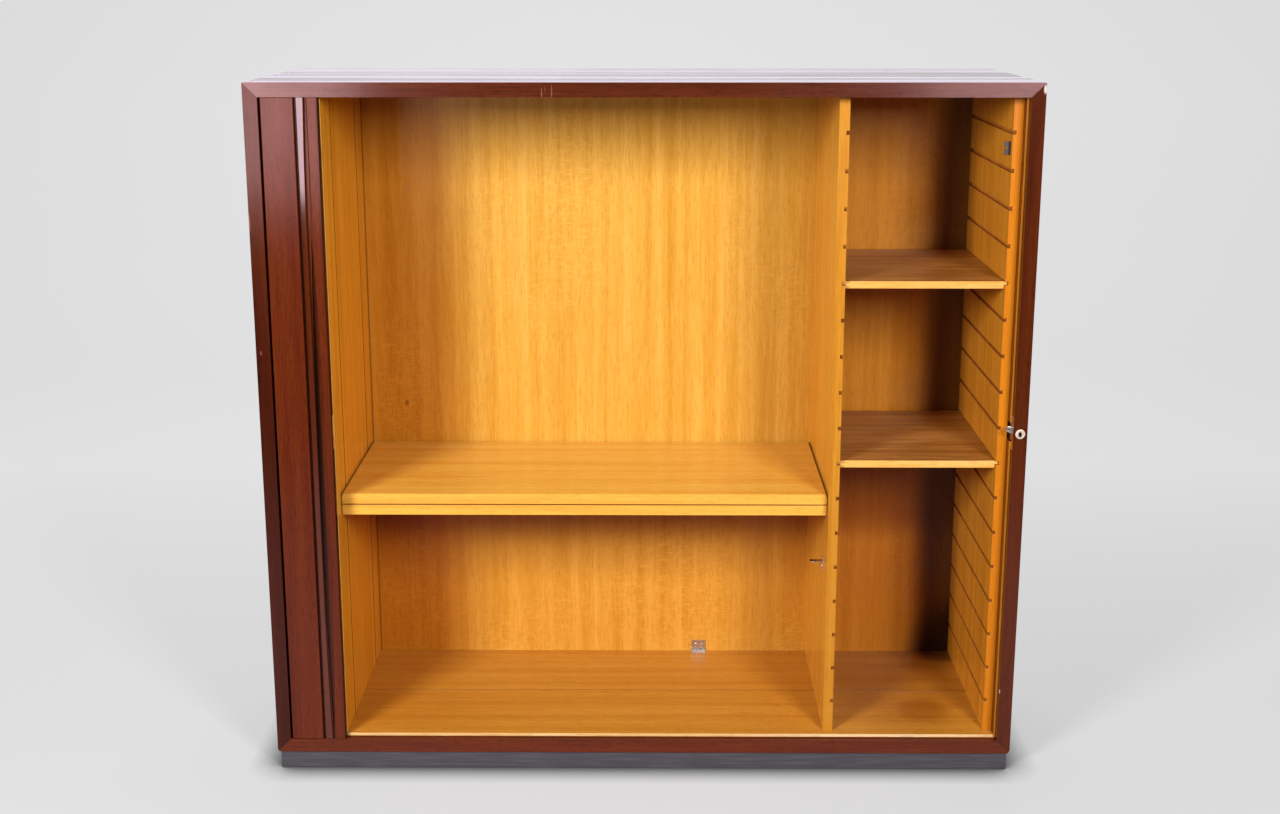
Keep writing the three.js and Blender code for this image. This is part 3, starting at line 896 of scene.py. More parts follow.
@dataclass
class MitredBoard(Board):
    """A board of the carcass, mitred at its ends and rounded on the outside.

    Attributes:
        round_mm: Radius of the outer arrises and the upper corners.
        worn_mm: Radius of the lower corners, which have been knocked.
        segments: Faces across an outer arris.
        square_deg: Least angle between the faces of an inner arris that is softened.
    """

    round_mm: float = 2.4
    worn_mm: float = 5.0
    segments: int = 4
    square_deg: float = 80.0

    def shape(self, form: bmesh.types.BMesh) -> None:
        """Rounds the outer corners evenly with the next board's, then the arrises.

        Args:
            form: The board.
        """
        low, high = CARCASS_CORNERS
        for x, z in ((low.x, low.z), (low.x, high.z), (high.x, low.z), (high.x, high.z)):
            self.round_corner(form, x, z)

        def outer(edge: bmesh.types.BMEdge) -> bool:
            """True for an arris on the front or back of the carcass's outer faces.

            Args:
                edge: The arris.

            Returns:
                Whether it is one.
            """
            return (
                all(self.at_face(v.co.y, low.y, high.y) for v in edge.verts)
                and any(abs(f.normal.y) < 0.5 and self.faces_out(f) for f in edge.link_faces)
                and not self.at_mitre(edge)
            )

        def inner(edge: bmesh.types.BMEdge) -> bool:
            """True for the other square arrises, apart from those at the mitres."""
            square = edge.calc_face_angle() > math.radians(self.square_deg)
            return square and not self.at_mitre(edge)

        soften(form, self.round_mm, self.segments, outer)
        soften(form, self.arris_mm, 2, inner)

    def round_corner(self, form: bmesh.types.BMesh, x: float, z: float) -> None:
        """Rounds an outer corner, where two boards meet, with planes round one centre.

        Args:
            form: The board.
            x: Place of the corner.
            z: Height of the corner.
        """
        top = z == CARCASS_CORNERS[1].z
        radius = (self.round_mm if top else self.worn_mm) * MM
        across, up = math.copysign(1, x), 1 if top else -1
        centre = Vector((x - across * radius, 0, z - up * radius))
        for step in range(1, self.segments + 1):
            turn = math.radians(90 * step / (self.segments + 1))
            outward = Vector((across * math.sin(turn), 0, up * math.cos(turn)))
            cut = bmesh.ops.bisect_plane(
                form, geom=form.verts[:] + form.edges[:] + form.faces[:], dist=WELD / 2,
                plane_co=centre + outward * radius, plane_no=outward, clear_outer=True,
            )
            rim = [part for part in cut["geom_cut"] if isinstance(part, bmesh.types.BMEdge)]
            if rim:
                bmesh.ops.edgenet_fill(form, edges=rim)

    def at_face(self, place: float, low: float, high: float) -> bool:
        """True where a place is at either end of a range."""
        return min(abs(place - low), abs(place - high)) < SAME

    def faces_out(self, face: bmesh.types.BMFace) -> bool:
        """True for a face that is on the outside of the carcass.

        Args:
            face: The face.

        Returns:
            Whether it is on the outside.
        """
        middle = face.calc_center_median()
        low, high = CARCASS_CORNERS
        away = Vector((middle.x, 0, middle.z - (low.z + high.z) / 2))
        return face.normal.dot(away) > 0 and not self.is_mitre(face)

    def is_mitre(self, face: bmesh.types.BMFace) -> bool:
        """True for a face on the plane between two boards.

        Args:
            face: The face.

        Returns:
            Whether it is on that plane.
        """
        middle = face.calc_center_median()
        low, high = CARCASS_CORNERS
        depth = min(middle.x - low.x, high.x - middle.x, middle.z - low.z, high.z - middle.z)
        diagonal = math.isclose(abs(face.normal.x), abs(face.normal.z), abs_tol=0.01)
        return diagonal and depth > self.worn_mm * MM

    def at_mitre(self, edge: bmesh.types.BMEdge) -> bool:
        """True for an edge of such a face."""
        return any(self.is_mitre(face) for face in edge.link_faces)


# The top board's front edge: pale scratches over the left bay and a chip at the right.
FRONT_MARKS = (
    Mark("top_panel", (448.0, 0.0, 8.0), (0.7, 3.0, 8.0), "#a5685a", 0.45),
    Mark("top_panel", (453.0, 0.0, 13.0), (0.5, 3.0, 5.0), "#98594a", 0.35),
    Mark("top_panel", (463.0, 0.0, 10.0), (0.8, 3.0, 10.0), "#a5685a", 0.4),
    Mark("top_panel", (984.0, 0.0, 6.0), (3.0, 3.0, 2.0), "#2c0f0a", 0.8),
)
# The left stile: rubbed and chipped along its outer arris, and darker and more purple over
# its lower part.
STILE_MARKS = (
    Mark("left_side", (8.0, 0.0, 670.0), (1.6, 3.0, 3.2), "#9c6454", 0.55),
    Mark("left_side", (3.0, 0.0, 632.0), (1.6, 3.0, 9.0), "#2c0f0a", 0.7),
    Mark("left_side", (1.0, 0.0, 875.0), (1.4, 3.0, 12.0), "#9c6454", 0.5),
    Mark("left_side", (8.0, 0.0, 300.0), (40.0, 12.0, 640.0), "#c4b4cc", 1.0, 0.1, stain_or_shade=True),
)
# The leading rail: painted shade in the finger pull beside the grip, and painted shade along
# the edge that shuts against the lock, widest at its top.
RAIL_MARKS = (
    Mark("rail_back", (6.5, 3.15, 427.4), (12.0, 3.0, 1000.0), "#1a0701", 0.95, 0.0),
    Mark("rail_stile", (19.0, 4.0, 1059.4), (6.0, 12.0, 760.0), "#1c0802", 0.7, 0.0),
)
# The right stile: its upper corner, worn to the bare wood, and a nick low on its inner arris.
CORNER_MARKS = (
    Mark("right_side", (20.6, 0.0, 1074.0), (2.0, 4.0, 6.0), "#d8cfc8", 0.8),
    Mark("right_side", (0.6, 0.0, 110.0), (1.0, 4.0, 3.0), "#c9a896", 0.9),
)
# The keyway, painted dark for the shade inside it, and the wear round it.
KEYHOLE_MARKS = (Mark("lock_plug", (5.0, -0.4, 5.0), (3.6, 9.0, 5.4), "#1a120c", 1.0, 0.1),)
# The inner back: painted shade in amber at both sides and over the lower bay, a darker painted
# shadow under the shelf, a knot, the dark line beside the curtain, and painted shade, darkest
# of all, along the right wall and in the right bay's lower corner.
BACK_MARKS = (
    Mark("inner_back", (47.0, 0.0, 518.0), (150.0, 60.0, 1400.0), "#f2d6a4", 1.0, 0.1, stain_or_shade=True),
    Mark("inner_back", (917.0, 0.0, 518.0), (160.0, 60.0, 1400.0), "#f4d8a8", 1.0, 0.1, stain_or_shade=True),
    Mark("inner_back", (392.0, 0.0, 178.0), (1000.0, 60.0, 240.0), "#f8e8d2", 1.0, 0.1, stain_or_shade=True),
    Mark("inner_back", (392.0, 0.0, 308.0), (1500.0, 60.0, 100.0), "#d4bca2", 0.9, 0.05, stain_or_shade=True),
    Mark("inner_back", (64.0, 0.0, 478.0), (3.4, 6.0, 5.0), "#6b3208", 0.6),
    Mark("inner_back", (0.0, 0.0, 518.0), (3.0, 6.0, 1500.0), "#4a2006", 0.6, 0.0),
    Mark("inner_back", (1059.0, 0.0, 518.0), (88.0, 60.0, 1400.0), "#7c6a60", 1.0, 0.1, stain_or_shade=True),
    Mark("inner_back", (1052.0, 0.0, 8.0), (80.0, 80.0, 120.0), "#140802", 0.85, 0.1),
)
# Joints of the wall beside the curtain, with painted shade in their recesses.
WALL_MARKS = (
    Mark("left_wall_panel", (13.0, -0.3, 518.0), (6.0, 4.0, 1500.0), "#5a2806", 0.9, 0.0),
    Mark("left_wall_panel", (13.0, 220.7, 518.0), (6.0, 4.5, 1500.0), "#5a2806", 0.9, 0.0),
)
# The main shelf: the joint between its two boards, and dark lines along its ends.
SHELF_MARKS = (
    Mark("main_shelf_upper", (390.6, 0.5, -0.1), (3000.0, 8.0, 1.3), "#6a340a", 0.95, 0.0),
    Mark("main_shelf_upper", (-0.4, 163.5, 17.4), (3.0, 1500.0, 6.0), "#4a1804", 0.9, 0.0),
    Mark("main_shelf_upper", (780.6, 163.5, 17.4), (3.0, 1500.0, 6.0), "#4a1804", 0.9, 0.0),
)
# The floor: the joint between its boards, a soft darker area over the right bay with the ring
# that a pot left there, and painted shade in that bay's far corner.
FLOOR_MARKS = (
    Mark("floor_front_board", (527.0, 178.3, 5.0), (3000.0, 1.6, 6.0), "#5a2c08", 0.6, 0.0),
    Mark("floor_front_board", (937.0, 256.0, 5.0), (150.0, 260.0, 8.0), "#e2d6ce", 1.0, 0.1, stain_or_shade=True),
    Mark("floor_front_board", (962.0, 97.0, 5.0), (56.0, 56.0, 8.0), "#eadccc", 1.0, 0.05, stain_or_shade=True),
    Mark("floor_front_board", (1052.0, 361.0, 5.0), (75.0, 60.0, 10.0), "#2a1004", 0.7, 0.1),
)


@dataclass
class Carcass:
    """The four mitred mahogany boards, the outer back and the plinth under them.

    Attributes:
        arris_mm: Rounding of the mahogany boards' inner edges.
        plinth_arris_mm: Rounding of the plinth's edges.
    """

    arris_mm: float = 0.6
    plinth_arris_mm: float = 1.2

    def build(self) -> None:
        """Builds and dresses the boards."""
        lying = MAHOGANY_RAIL.material(Grain.ACROSS, marks=FRONT_MARKS)
        standing = MAHOGANY.material(Grain.UPRIGHT, shift_mm=(37, 0, 210), marks=STILE_MARKS)
        right = MAHOGANY.material(Grain.UPRIGHT, shift_mm=(-61, 0, 90), marks=CORNER_MARKS)
        base = MAHOGANY_BASE.material(Grain.ACROSS, shift_mm=(300, 0, 17))
        MitredBoard("top_panel", "carcass", Slot.MAHOGANY, self.arris_mm).build(
            lying, MAHOGANY_TOP.material(Grain.ACROSS)
        )
        for node, material in (
            ("bottom_panel", base),
            ("left_side", standing),
            ("right_side", right),
        ):
            MitredBoard(node, "carcass", Slot.MAHOGANY, self.arris_mm).build(material)
        Board("outer_back", "carcass", Slot.BACK_BOARD, self.plinth_arris_mm).build(
            PLYWOOD.material(Grain.UPRIGHT)
        )
        paint = PLINTH_PAINT.material()
        for side in ("front", "back", "left", "right", "brace"):
            Board(f"plinth_{side}", "carcass", Slot.PLINTH, self.plinth_arris_mm).build(paint)


@dataclass
class Interior:
    """The ash interior: floor, walls, back, divider and the four shelf boards.

    Attributes:
        arris_mm: Rounding of the boards' edges.
    """

    arris_mm: float = 0.5

    def build(self) -> None:
        """Builds and dresses the boards."""
        floor = ASH_FLOOR.material(Grain.ACROSS, shift_mm=(80, 40, 0), marks=FLOOR_MARKS)
        shelf = ASH_SHELF.material(Grain.ACROSS, shift_mm=(-240, 95, 30), marks=SHELF_MARKS)
        side_shelf = ASH_WORN.material(Grain.ACROSS, shift_mm=(410, -60, 12))
        wall = ASH_WALL.material(Grain.UPRIGHT, shift_mm=(12, 25, 0), marks=WALL_MARKS)
        panel = ASH_WALL.material(Grain.UPRIGHT, shift_mm=(-33, 140, 300), marks=WALL_MARKS)
        back = ASH.material(Grain.UPRIGHT, marks=BACK_MARKS)
        shift = (55, -70, 120)
        lipping = ASH_LIPPING.material(Grain.UPRIGHT, shift_mm=shift)
        for node, material in (
            ("floor_rear_board", floor),
            ("left_wall_rear", wall),
            ("left_wall_panel", panel),
            ("inner_back", back),
        ):
            Board(node, "carcass", Slot.ASH, self.arris_mm).build(material)
        edge = ASH_YELLOWED.material(Grain.ACROSS)
        front = ASH_SHELF_FRONT.material(Grain.ACROSS, marks=SHELF_MARKS)
        grooved = ASH_GROOVED.material(Grain.UPRIGHT, shift_mm=shift)
        strip, rubbed = STRIP_SIDE.material(Grain.UPRIGHT), STRIP_FRONT.material(Grain.UPRIGHT)
        face = ASH_DIVIDER.material(Grain.UPRIGHT, shift_mm=shift)
        edged = (
            ("floor_front_board", "carcass", floor, ASH_BARE.material(Grain.ACROSS)),
            ("left_wall_front", "carcass", wall, ASH_YELLOWED.material(Grain.UPRIGHT)),
            ("main_shelf_upper", "main_shelf_top_board", shelf, front),
            ("main_shelf_lower", "main_shelf_bottom_board", shelf, front),
            ("closing_strip_lower", "carcass", strip, rubbed),
            ("closing_strip_upper", "carcass", strip, rubbed),
            ("side_shelf_upper", "side_shelf_high", side_shelf, edge),
            ("side_shelf_lower", "side_shelf_low", side_shelf, edge),
        )
        for node, body, material, faced in edged:
            Board(node, body, Slot.ASH, self.arris_mm).build(material, faced, TO_FRONT)
        # The darker finish inside the grooves is painted shade.
        groove_shade = ASH_GROOVE.material(Grain.UPRIGHT)
        for node, side, material, faced in (
            ("divider", 1, face, lipping),
            ("right_wall", -1, grooved, ASH_STAINED.material(Grain.UPRIGHT)),
        ):
            board = GroovedBoard(node, "carcass", Slot.ASH, self.arris_mm, side)
            board.paint_groove_shade(board.build(material, faced, TO_FRONT), groove_shade)


@dataclass
class LeadingRail:
    """The curtain's leading rail: backing strip, rounded grip, closing stile and guides.

    Attributes:
        arris_mm: Rounding of the strips' edges.
        plate_arris_mm: Rounding of the strike plate's edges.
        grip_slant_mm: How far the grip's face falls back towards the cover board.
        grip_round_mm: Rounding of the grip's edge beside the finger pull.
        bow_share: Part of the grip's width that the bowed edge stays to the right of.
        scoop_round_mm: Rounding of the closing stile's edge along the scoop.
        side_round_mm: Rounding of its other edge, which meets the lock.
        round_segments: Faces across each rounding.
        side_from: Least X of the normal of a face that has the closing side's finish.
    """

    arris_mm: float = 0.6
    plate_arris_mm: float = 0.2
    grip_slant_mm: float = 0.5
    grip_round_mm: float = 1.2
    bow_share: float = 0.4
    scoop_round_mm: float = 2.4
    side_round_mm: float = 2.0
    round_segments: int = 4
    side_from: float = 0.5

    def upright_in_front(
        self, node: str, left: float, right: float
    ) -> Callable[[bmesh.types.BMEdge], bool]:
        """A test for the upright arrises on the front of a node.

        Args:
            node: The node's name.
            left: X that they lie to the right of.
            right: X that they lie to the left of.

        Returns:
            The test.
        """
        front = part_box(node)[0].y + NEAR

        def wanted(edge: bmesh.types.BMEdge) -> bool:
            """True for such an arris."""
            first, second = (vert.co for vert in edge.verts)
            return abs(first.z - second.z) > MM and all(
                end.y < front and left < end.x < right for end in (first, second)
            )

        return wanted

    def build_grip(self, material: bpy.types.Material) -> None:
        """Builds the grip, its pull edge rounded over.

        Args:
            material: Its finish.
        """
        form = board_form("rail_grip")
        low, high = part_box("rail_grip")
        bow = low.x + self.bow_share * (high.x - low.x)
        slant = [v for v in form.verts if v.co.y < low.y + NEAR and v.co.x < low.x + NEAR]
        bmesh.ops.translate(form, vec=(0, self.grip_slant_mm * MM, 0), verts=slant)
        on_pull = self.upright_in_front("rail_grip", bow, math.inf)
        soften(form, self.grip_round_mm, self.round_segments, on_pull)
        piece = new_object("rail_grip_rounded", form)
        dress(piece, material, Slot.MAHOGANY, "rail_grip")
        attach(piece, "tambour")
        LOG.info("grip rounded by %.1f mm", self.grip_round_mm)

    def build_stile(self, material: bpy.types.Material, dark: bpy.types.Material) -> None:
        """Builds the closing stile, its long edges rounded over.

        Args:
            material: Its finish.
            dark: The darker finish on the closing side, as painted shade.
        """
        form = board_form("rail_stile")
        low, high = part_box("rail_stile")
        middle = (low.x + high.x) / 2
        on_scoop = self.upright_in_front("rail_stile", -math.inf, middle)
        on_right = self.upright_in_front("rail_stile", high.x - NEAR, math.inf)
        soften(form, self.scoop_round_mm, self.round_segments, on_scoop)
        soften(form, self.side_round_mm, self.round_segments, on_right)
        for face in form.faces:
            closing = face.calc_center_median().x >= middle and face.normal.x > self.side_from
            face.material_index = int(closing)
        piece = new_object("rail_stile_scooped", form)
        dress(piece, material, Slot.MAHOGANY, "rail_stile")
        piece.data.materials.append(dark)
        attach(piece, "tambour")
        LOG.info("scoop rounded by %.1f mm", self.scoop_round_mm)

    def build(self) -> None:
        """Builds the rail's pieces."""
        shift = (9, 31, 55)
        timber = MAHOGANY_RED.material(Grain.UPRIGHT, shift_mm=shift, marks=RAIL_MARKS)
        # The darker finish on the rail's right side is painted shade.
        dark = MAHOGANY_SHADED_SIDE.material(Grain.UPRIGHT)
        self.build_grip(MAHOGANY_GRIP.material(Grain.UPRIGHT, shift_mm=shift))
        self.build_stile(timber, dark)
        Board("rail_back", "tambour", Slot.MAHOGANY, self.arris_mm).build(timber, dark, TO_RIGHT)
        for node in ("rail_guide_lower", "rail_guide_upper"):
            Board(node, "tambour", Slot.MAHOGANY, self.arris_mm).build(timber)
        plate = Board("strike_plate", "tambour", Slot.NICKEL, self.plate_arris_mm)
        plate.build(NICKEL.material())


@dataclass
class Track:
    """The centre line that the curtain follows, read from the frame's own curtain.

    Attributes:
        front_y: Place of the front run.
        side_x: Place of the side run.
        back_y: Place of the back run.
        corner_x: Where the straight front and back runs begin.
        radius: Radius of both corners.
    """

    front_y: float = field(init=False)
    side_x: float = field(init=False)
    back_y: float = field(init=False)
    corner_x: float = field(init=False)
    radius: float = field(init=False)

    def __post_init__(self) -> None:
        """Reads the places from the boxes of the curtain's nodes."""
        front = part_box("curtain_front")
        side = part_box("curtain_side")
        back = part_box("curtain_back")
        half = (side[1].x - side[0].x) / 2
        self.front_y = front[0].y + half
        self.side_x = side[0].x + half
        self.back_y = back[1].y - half
        self.corner_x = back[0].x
        self.radius = self.corner_x - self.side_x

    def corner(self) -> float:
        """Length of the centre line round one corner."""
        return self.radius * math.pi / 2

    def side_end(self) -> float:
        """Distance at which the rear corner begins."""
        return self.corner() + self.back_y - self.front_y - 2 * self.radius

    def point(self, distance: float, offset: float) -> tuple[float, float]:
        """A point beside the centre line.

        Args:
            distance: From the start of the front corner, round it and along the side and
                back; below zero it runs to the right along the front.
            offset: Towards the outside of the cabinet.

        Returns:
            Its X and Y.
        """
        if distance <= 0:
            return self.corner_x - distance, self.front_y - offset
        if distance < self.corner():
            turn = distance / self.radius
            reach = self.radius + offset
            return (
                self.corner_x - reach * math.sin(turn),
                self.front_y + self.radius - reach * math.cos(turn),
            )
        if distance <= self.side_end():
            return self.side_x - offset, self.front_y + self.radius + distance - self.corner()
        if distance < self.side_end() + self.corner():
            turn = (distance - self.side_end()) / self.radius
            reach = self.radius + offset
            return (
                self.corner_x - reach * math.cos(turn),
                self.back_y - self.radius + reach * math.sin(turn),
            )
        return self.corner_x + distance - self.side_end() - self.corner(), self.back_y + offset


@dataclass
class Curtain:
    """The slatted curtain on its canvas, from the leading rail round to the back.

    Attributes:
        pitch_mm: From one slat to the next.
        groove_mm: Width of the groove between two slats.
        depth_mm: Depth of that groove.
        side_share: Depth at the groove's sides, as part of its depth.
        mouth_share: Width of its mouth over its width.
        shoulder_drop_mm: Depth of the rounding beside the mouth.
        shoulder_mm: Where that rounding is at drop_share of its depth.
        drop_share: Part of the rounding's depth that is left there.
        flat_share: Where the flat of the slat begins, over shoulder_mm.
        seam_mm: Gap between two stretches of the curtain.
        halvings: Steps in the search for a point's place at rest.
        cover_arris_mm: Rounding of the cover board's edges.
    """

    pitch_mm: float = 15.0
    groove_mm: float = 1.2
    depth_mm: float = 2.2
    side_share: float = 0.7
    mouth_share: float = 1.2
    shoulder_drop_mm: float = 0.55
    shoulder_mm: float = 2.2
    drop_share: float = 0.25
    flat_share: float = 1.8
    seam_mm: float = 0.3
    halvings: int = 60
    cover_arris_mm: float = 1.2

    def slat_steps(self) -> tuple[tuple[float, float], ...]:
        """The points of one slat's face, from the joint before it.

        Returns:
            Distance and depth of each point, in metres.
        """
        groove = self.groove_mm / 2
        rising = (
            (groove, self.depth_mm * self.side_share),
            (groove * self.mouth_share, self.shoulder_drop_mm),
            (self.shoulder_mm, self.shoulder_drop_mm * self.drop_share),
            (self.shoulder_mm * self.flat_share, 0.0),
        )
        falling = tuple((self.pitch_mm - along, depth) for along, depth in reversed(rising))
        points = ((0.0, self.depth_mm), *rising, *falling)
        return tuple((along * MM, depth * MM) for along, depth in points)

    def stations(self, start: float, end: float) -> list[tuple[float, float]]:
        """Distance and depth of every point of the curtain's face between two distances.

        Args:
            start: The lower distance, in metres.
            end: The higher distance.

        Returns:
            The points in order, with both ends.
        """
        pitch = self.pitch_mm * MM
        first = math.floor(start / pitch)
        last = math.ceil(end / pitch)
        places = [
            (index * pitch + along, depth)
            for index in range(first, last + 1)
            for along, depth in self.slat_steps()
        ]
        inside = [p for p in places if start < p[0] < end]
        return [(start, self.depth_mm * MM), *inside, (end, self.depth_mm * MM)]

    def ribbon(
        self, name: str, outer: Sequence[tuple[float, float]], inner: Sequence[tuple[float, float]]
    ) -> bpy.types.Object:
        """Carries the closed outline of a stretch of curtain up through its height.

        Args:
            name: The piece's name.
            outer: Points of the slats' face, as X and Y.
            inner: Points of the canvas side, in the same order.

        Returns:
            The ribbon.
        """
        low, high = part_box("curtain_front")
        form = bmesh.new()
        loop = [form.verts.new((x, y, low.z)) for x, y in (*outer, *reversed(inner))]
        base = form.faces.new(loop)
        risen = bmesh.ops.extrude_face_region(form, geom=[base], use_keep_orig=True)
        top = [v for v in risen["geom"] if isinstance(v, bmesh.types.BMVert)]
        bmesh.ops.translate(form, vec=(0, 0, high.z - low.z), verts=top)
        bmesh.ops.recalc_face_normals(form, faces=form.faces[:])
        return new_object(name, form)

    def parked(self, track: Track, name: str, start: float, end: float) -> bpy.types.Object:
        """A stretch of curtain at its real pitch along the track.

        Args:
            track: The track's centre line.
            name: The piece's name.
            start: Distance where it begins.
            end: Distance where it ends.

        Returns:
            The stretch.
        """
        half = self.half_thickness()
        stations = self.stations(start, end)
        outer = [track.point(s, half - depth) for s, depth in stations]
        inner = [track.point(s, -half) for s, _ in stations]
        return self.ribbon(name, outer, inner)

    def half_thickness(self) -> float:
        """Half of the slats' thickness, from the frame."""
        low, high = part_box("curtain_side")
        return (high.x - low.x) / 2

    def build_drawn(self, track: Track, material: bpy.types.Material) -> None:
        """Builds the stretch that the leading rail draws across the front.

        Its slats lie pressed together beside the rail, at the places from which a spread along the
        rail's full travel would give them their real pitch.

        Args:
            track: The track's centre line.
            material: Its finish.
        """
        joints = frame["record"]["behaviour"]["joints"]
        travel = next(j["range_m"][1] for j in joints if j["name"] == "tambour_slide")
        low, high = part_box("curtain_front")
        start, end = track.corner_x, high.x
        half = self.half_thickness()

        def rest_place(closed_x: float) -> float:
            """Where a point lies at rest.

            Args:
                closed_x: Its X when the curtain is closed.

            Returns:
                Its X at rest.
            """
            left, right = start, end
            for _ in range(self.halvings):
                middle = (left + right) / 2
                share = (middle - start) / (end - start)
                moved = middle + travel * share * share * (3 - 2 * share)
                left, right = (middle, right) if moved < closed_x else (left, middle)
            return (left + right) / 2

        corner_end = track.corner() - self.seam_mm * MM
        round_corner = self.stations(0.0, corner_end)[1:]
        across = self.stations(start - (end + travel), 0.0)
        outer: list[tuple[float, float]] = []
        inner: list[tuple[float, float]] = []
        for s, depth in across[:-1]:
            x = rest_place(start - s)
            outer.append((x, track.front_y - half + depth))
            inner.append((x, track.front_y + half))
        for s, depth in round_corner:
            outer.append(track.point(s, half - depth))
            inner.append(track.point(s, -half))
        piece = self.ribbon("curtain_slats_front", outer, inner)
        dress(piece, material, Slot.MAHOGANY, "curtain_front")
        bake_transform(piece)
        LOG.info("curtain front with %d points a side", len(outer))

    def build(self) -> None:
        """Builds the four stretches of the curtain."""
        track = Track()
        timber = MAHOGANY.material(Grain.UPRIGHT, shift_mm=(-14, 8, 400))
        self.build_drawn(track, timber)
        seam = self.seam_mm * MM
        side_end = track.side_end()
        back_start = side_end + track.corner()
        back_end = back_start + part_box("curtain_back")[1].x - track.corner_x
        along_x, along_y = (1, 0, 0), (0, 1, 0)
        side_anchor = (0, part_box("curtain_side")[0].y, 0)
        corner_anchor = (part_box("curtain_rear_corner")[0].x, 0, 0)
        # The last number is the part of a stretch's length that is left of it in the track
        # once the curtain is closed.
        stretches = (
            ("side", track.corner(), side_end - seam, along_y, side_anchor, 0.02),
            ("rear_corner", side_end, back_start - seam, along_x, corner_anchor, 0.1),
            ("back", back_start, back_end, along_x, (track.corner_x, 0, 0), 0.01),
        )
        for name, start, end, axis, anchor, keep in stretches:
            piece = self.parked(track, f"curtain_slats_{name}", start, end)
            dress(piece, timber, Slot.MAHOGANY, f"curtain_{name}")
            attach(piece, "carcass")
            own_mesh(piece)
            LOG.info("curtain %s", name)
        cover = MAHOGANY_RED.material(Grain.UPRIGHT, shift_mm=(21, 5, 150))
        Board("cover_board", "carcass", Slot.MAHOGANY, self.cover_arris_mm).build(cover)


@dataclass
class Lock:
    """The cam lock in the right stile.

    Attributes:
        lip_mm: Rounding of the ring's front edge.
        lip_middle: The middle of that rounding, inwards and backwards, in parts of it.
        clear_mm: Gap between the ring and the plug.
        bevel_mm: Bevel of the ring's inner edge.
        steps: Steps of the spun ring.
        face_arris_mm: Rounding of the plug and of the plate in the stile's edge.
        cam_arris_mm: Rounding of the hooked cam.
        case_arris_mm: Rounding of the case.
    """

    lip_mm: float = 0.9
    lip_middle: tuple[float, float] = (0.3, 0.25)
    clear_mm: float = 0.3
    bevel_mm: float = 0.3
    steps: int = 64
    face_arris_mm: float = 0.25
    cam_arris_mm: float = 0.4
    case_arris_mm: float = 0.2

    def build_ring(self, material: bpy.types.Material) -> None:
        """Spins the ring round the lock's axis.

        Args:
            material: Its finish.
        """
        low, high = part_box("lock_ring")
        plug_low, plug_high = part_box("lock_plug")
        centre = (low + high) / 2
        outer = (high.x - low.x) / 2
        inner = (plug_high.x - plug_low.x) / 2 + self.clear_mm * MM
        bevel = self.bevel_mm * MM
        lip = self.lip_mm * MM
        inwards, backwards = (share * lip for share in self.lip_middle)
        profile = (
            (inner, high.y), (inner, low.y + bevel), (inner + bevel, low.y),
            (outer - lip, low.y), (outer - inwards, low.y + backwards),
            (outer, low.y + lip), (outer, high.y),
        )
        form = bmesh.new()
        verts = [form.verts.new((centre.x + r, y, centre.z)) for r, y in profile]
        edges = [form.edges.new(pair) for pair in zip(verts, verts[1:] + verts[:1])]
        bmesh.ops.spin(
            form, geom=verts + edges, cent=centre, axis=(0, 1, 0), dvec=(0, 0, 0),
            angle=FULL_TURN, steps=self.steps, use_merge=True, use_duplicate=False,
        )
        bmesh.ops.remove_doubles(form, verts=form.verts[:], dist=WELD)
        bmesh.ops.recalc_face_normals(form, faces=form.faces[:])
        piece = new_object("lock_face_ring", form)
        dress(piece, material, Slot.NICKEL, "lock_ring")
        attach(piece, "carcass")
        LOG.info("lock ring, %d steps", self.steps)

    def build(self) -> None:
        """Builds the lock's pieces."""
        nickel = NICKEL.material()
        steel = STEEL.material()
        face = NICKEL_FACE.material(KEYHOLE_MARKS)
        self.build_ring(face)
        Board("lock_plug", "lock_core", Slot.NICKEL, self.face_arris_mm).build(face)
        Board("lock_forend", "carcass", Slot.NICKEL, self.face_arris_mm).build(nickel)
        Board("hook_cam", "lock_core", Slot.STEEL, self.cam_arris_mm).build(nickel)
        Board("lock_case", "carcass", Slot.STEEL, self.case_arris_mm).build(steel)


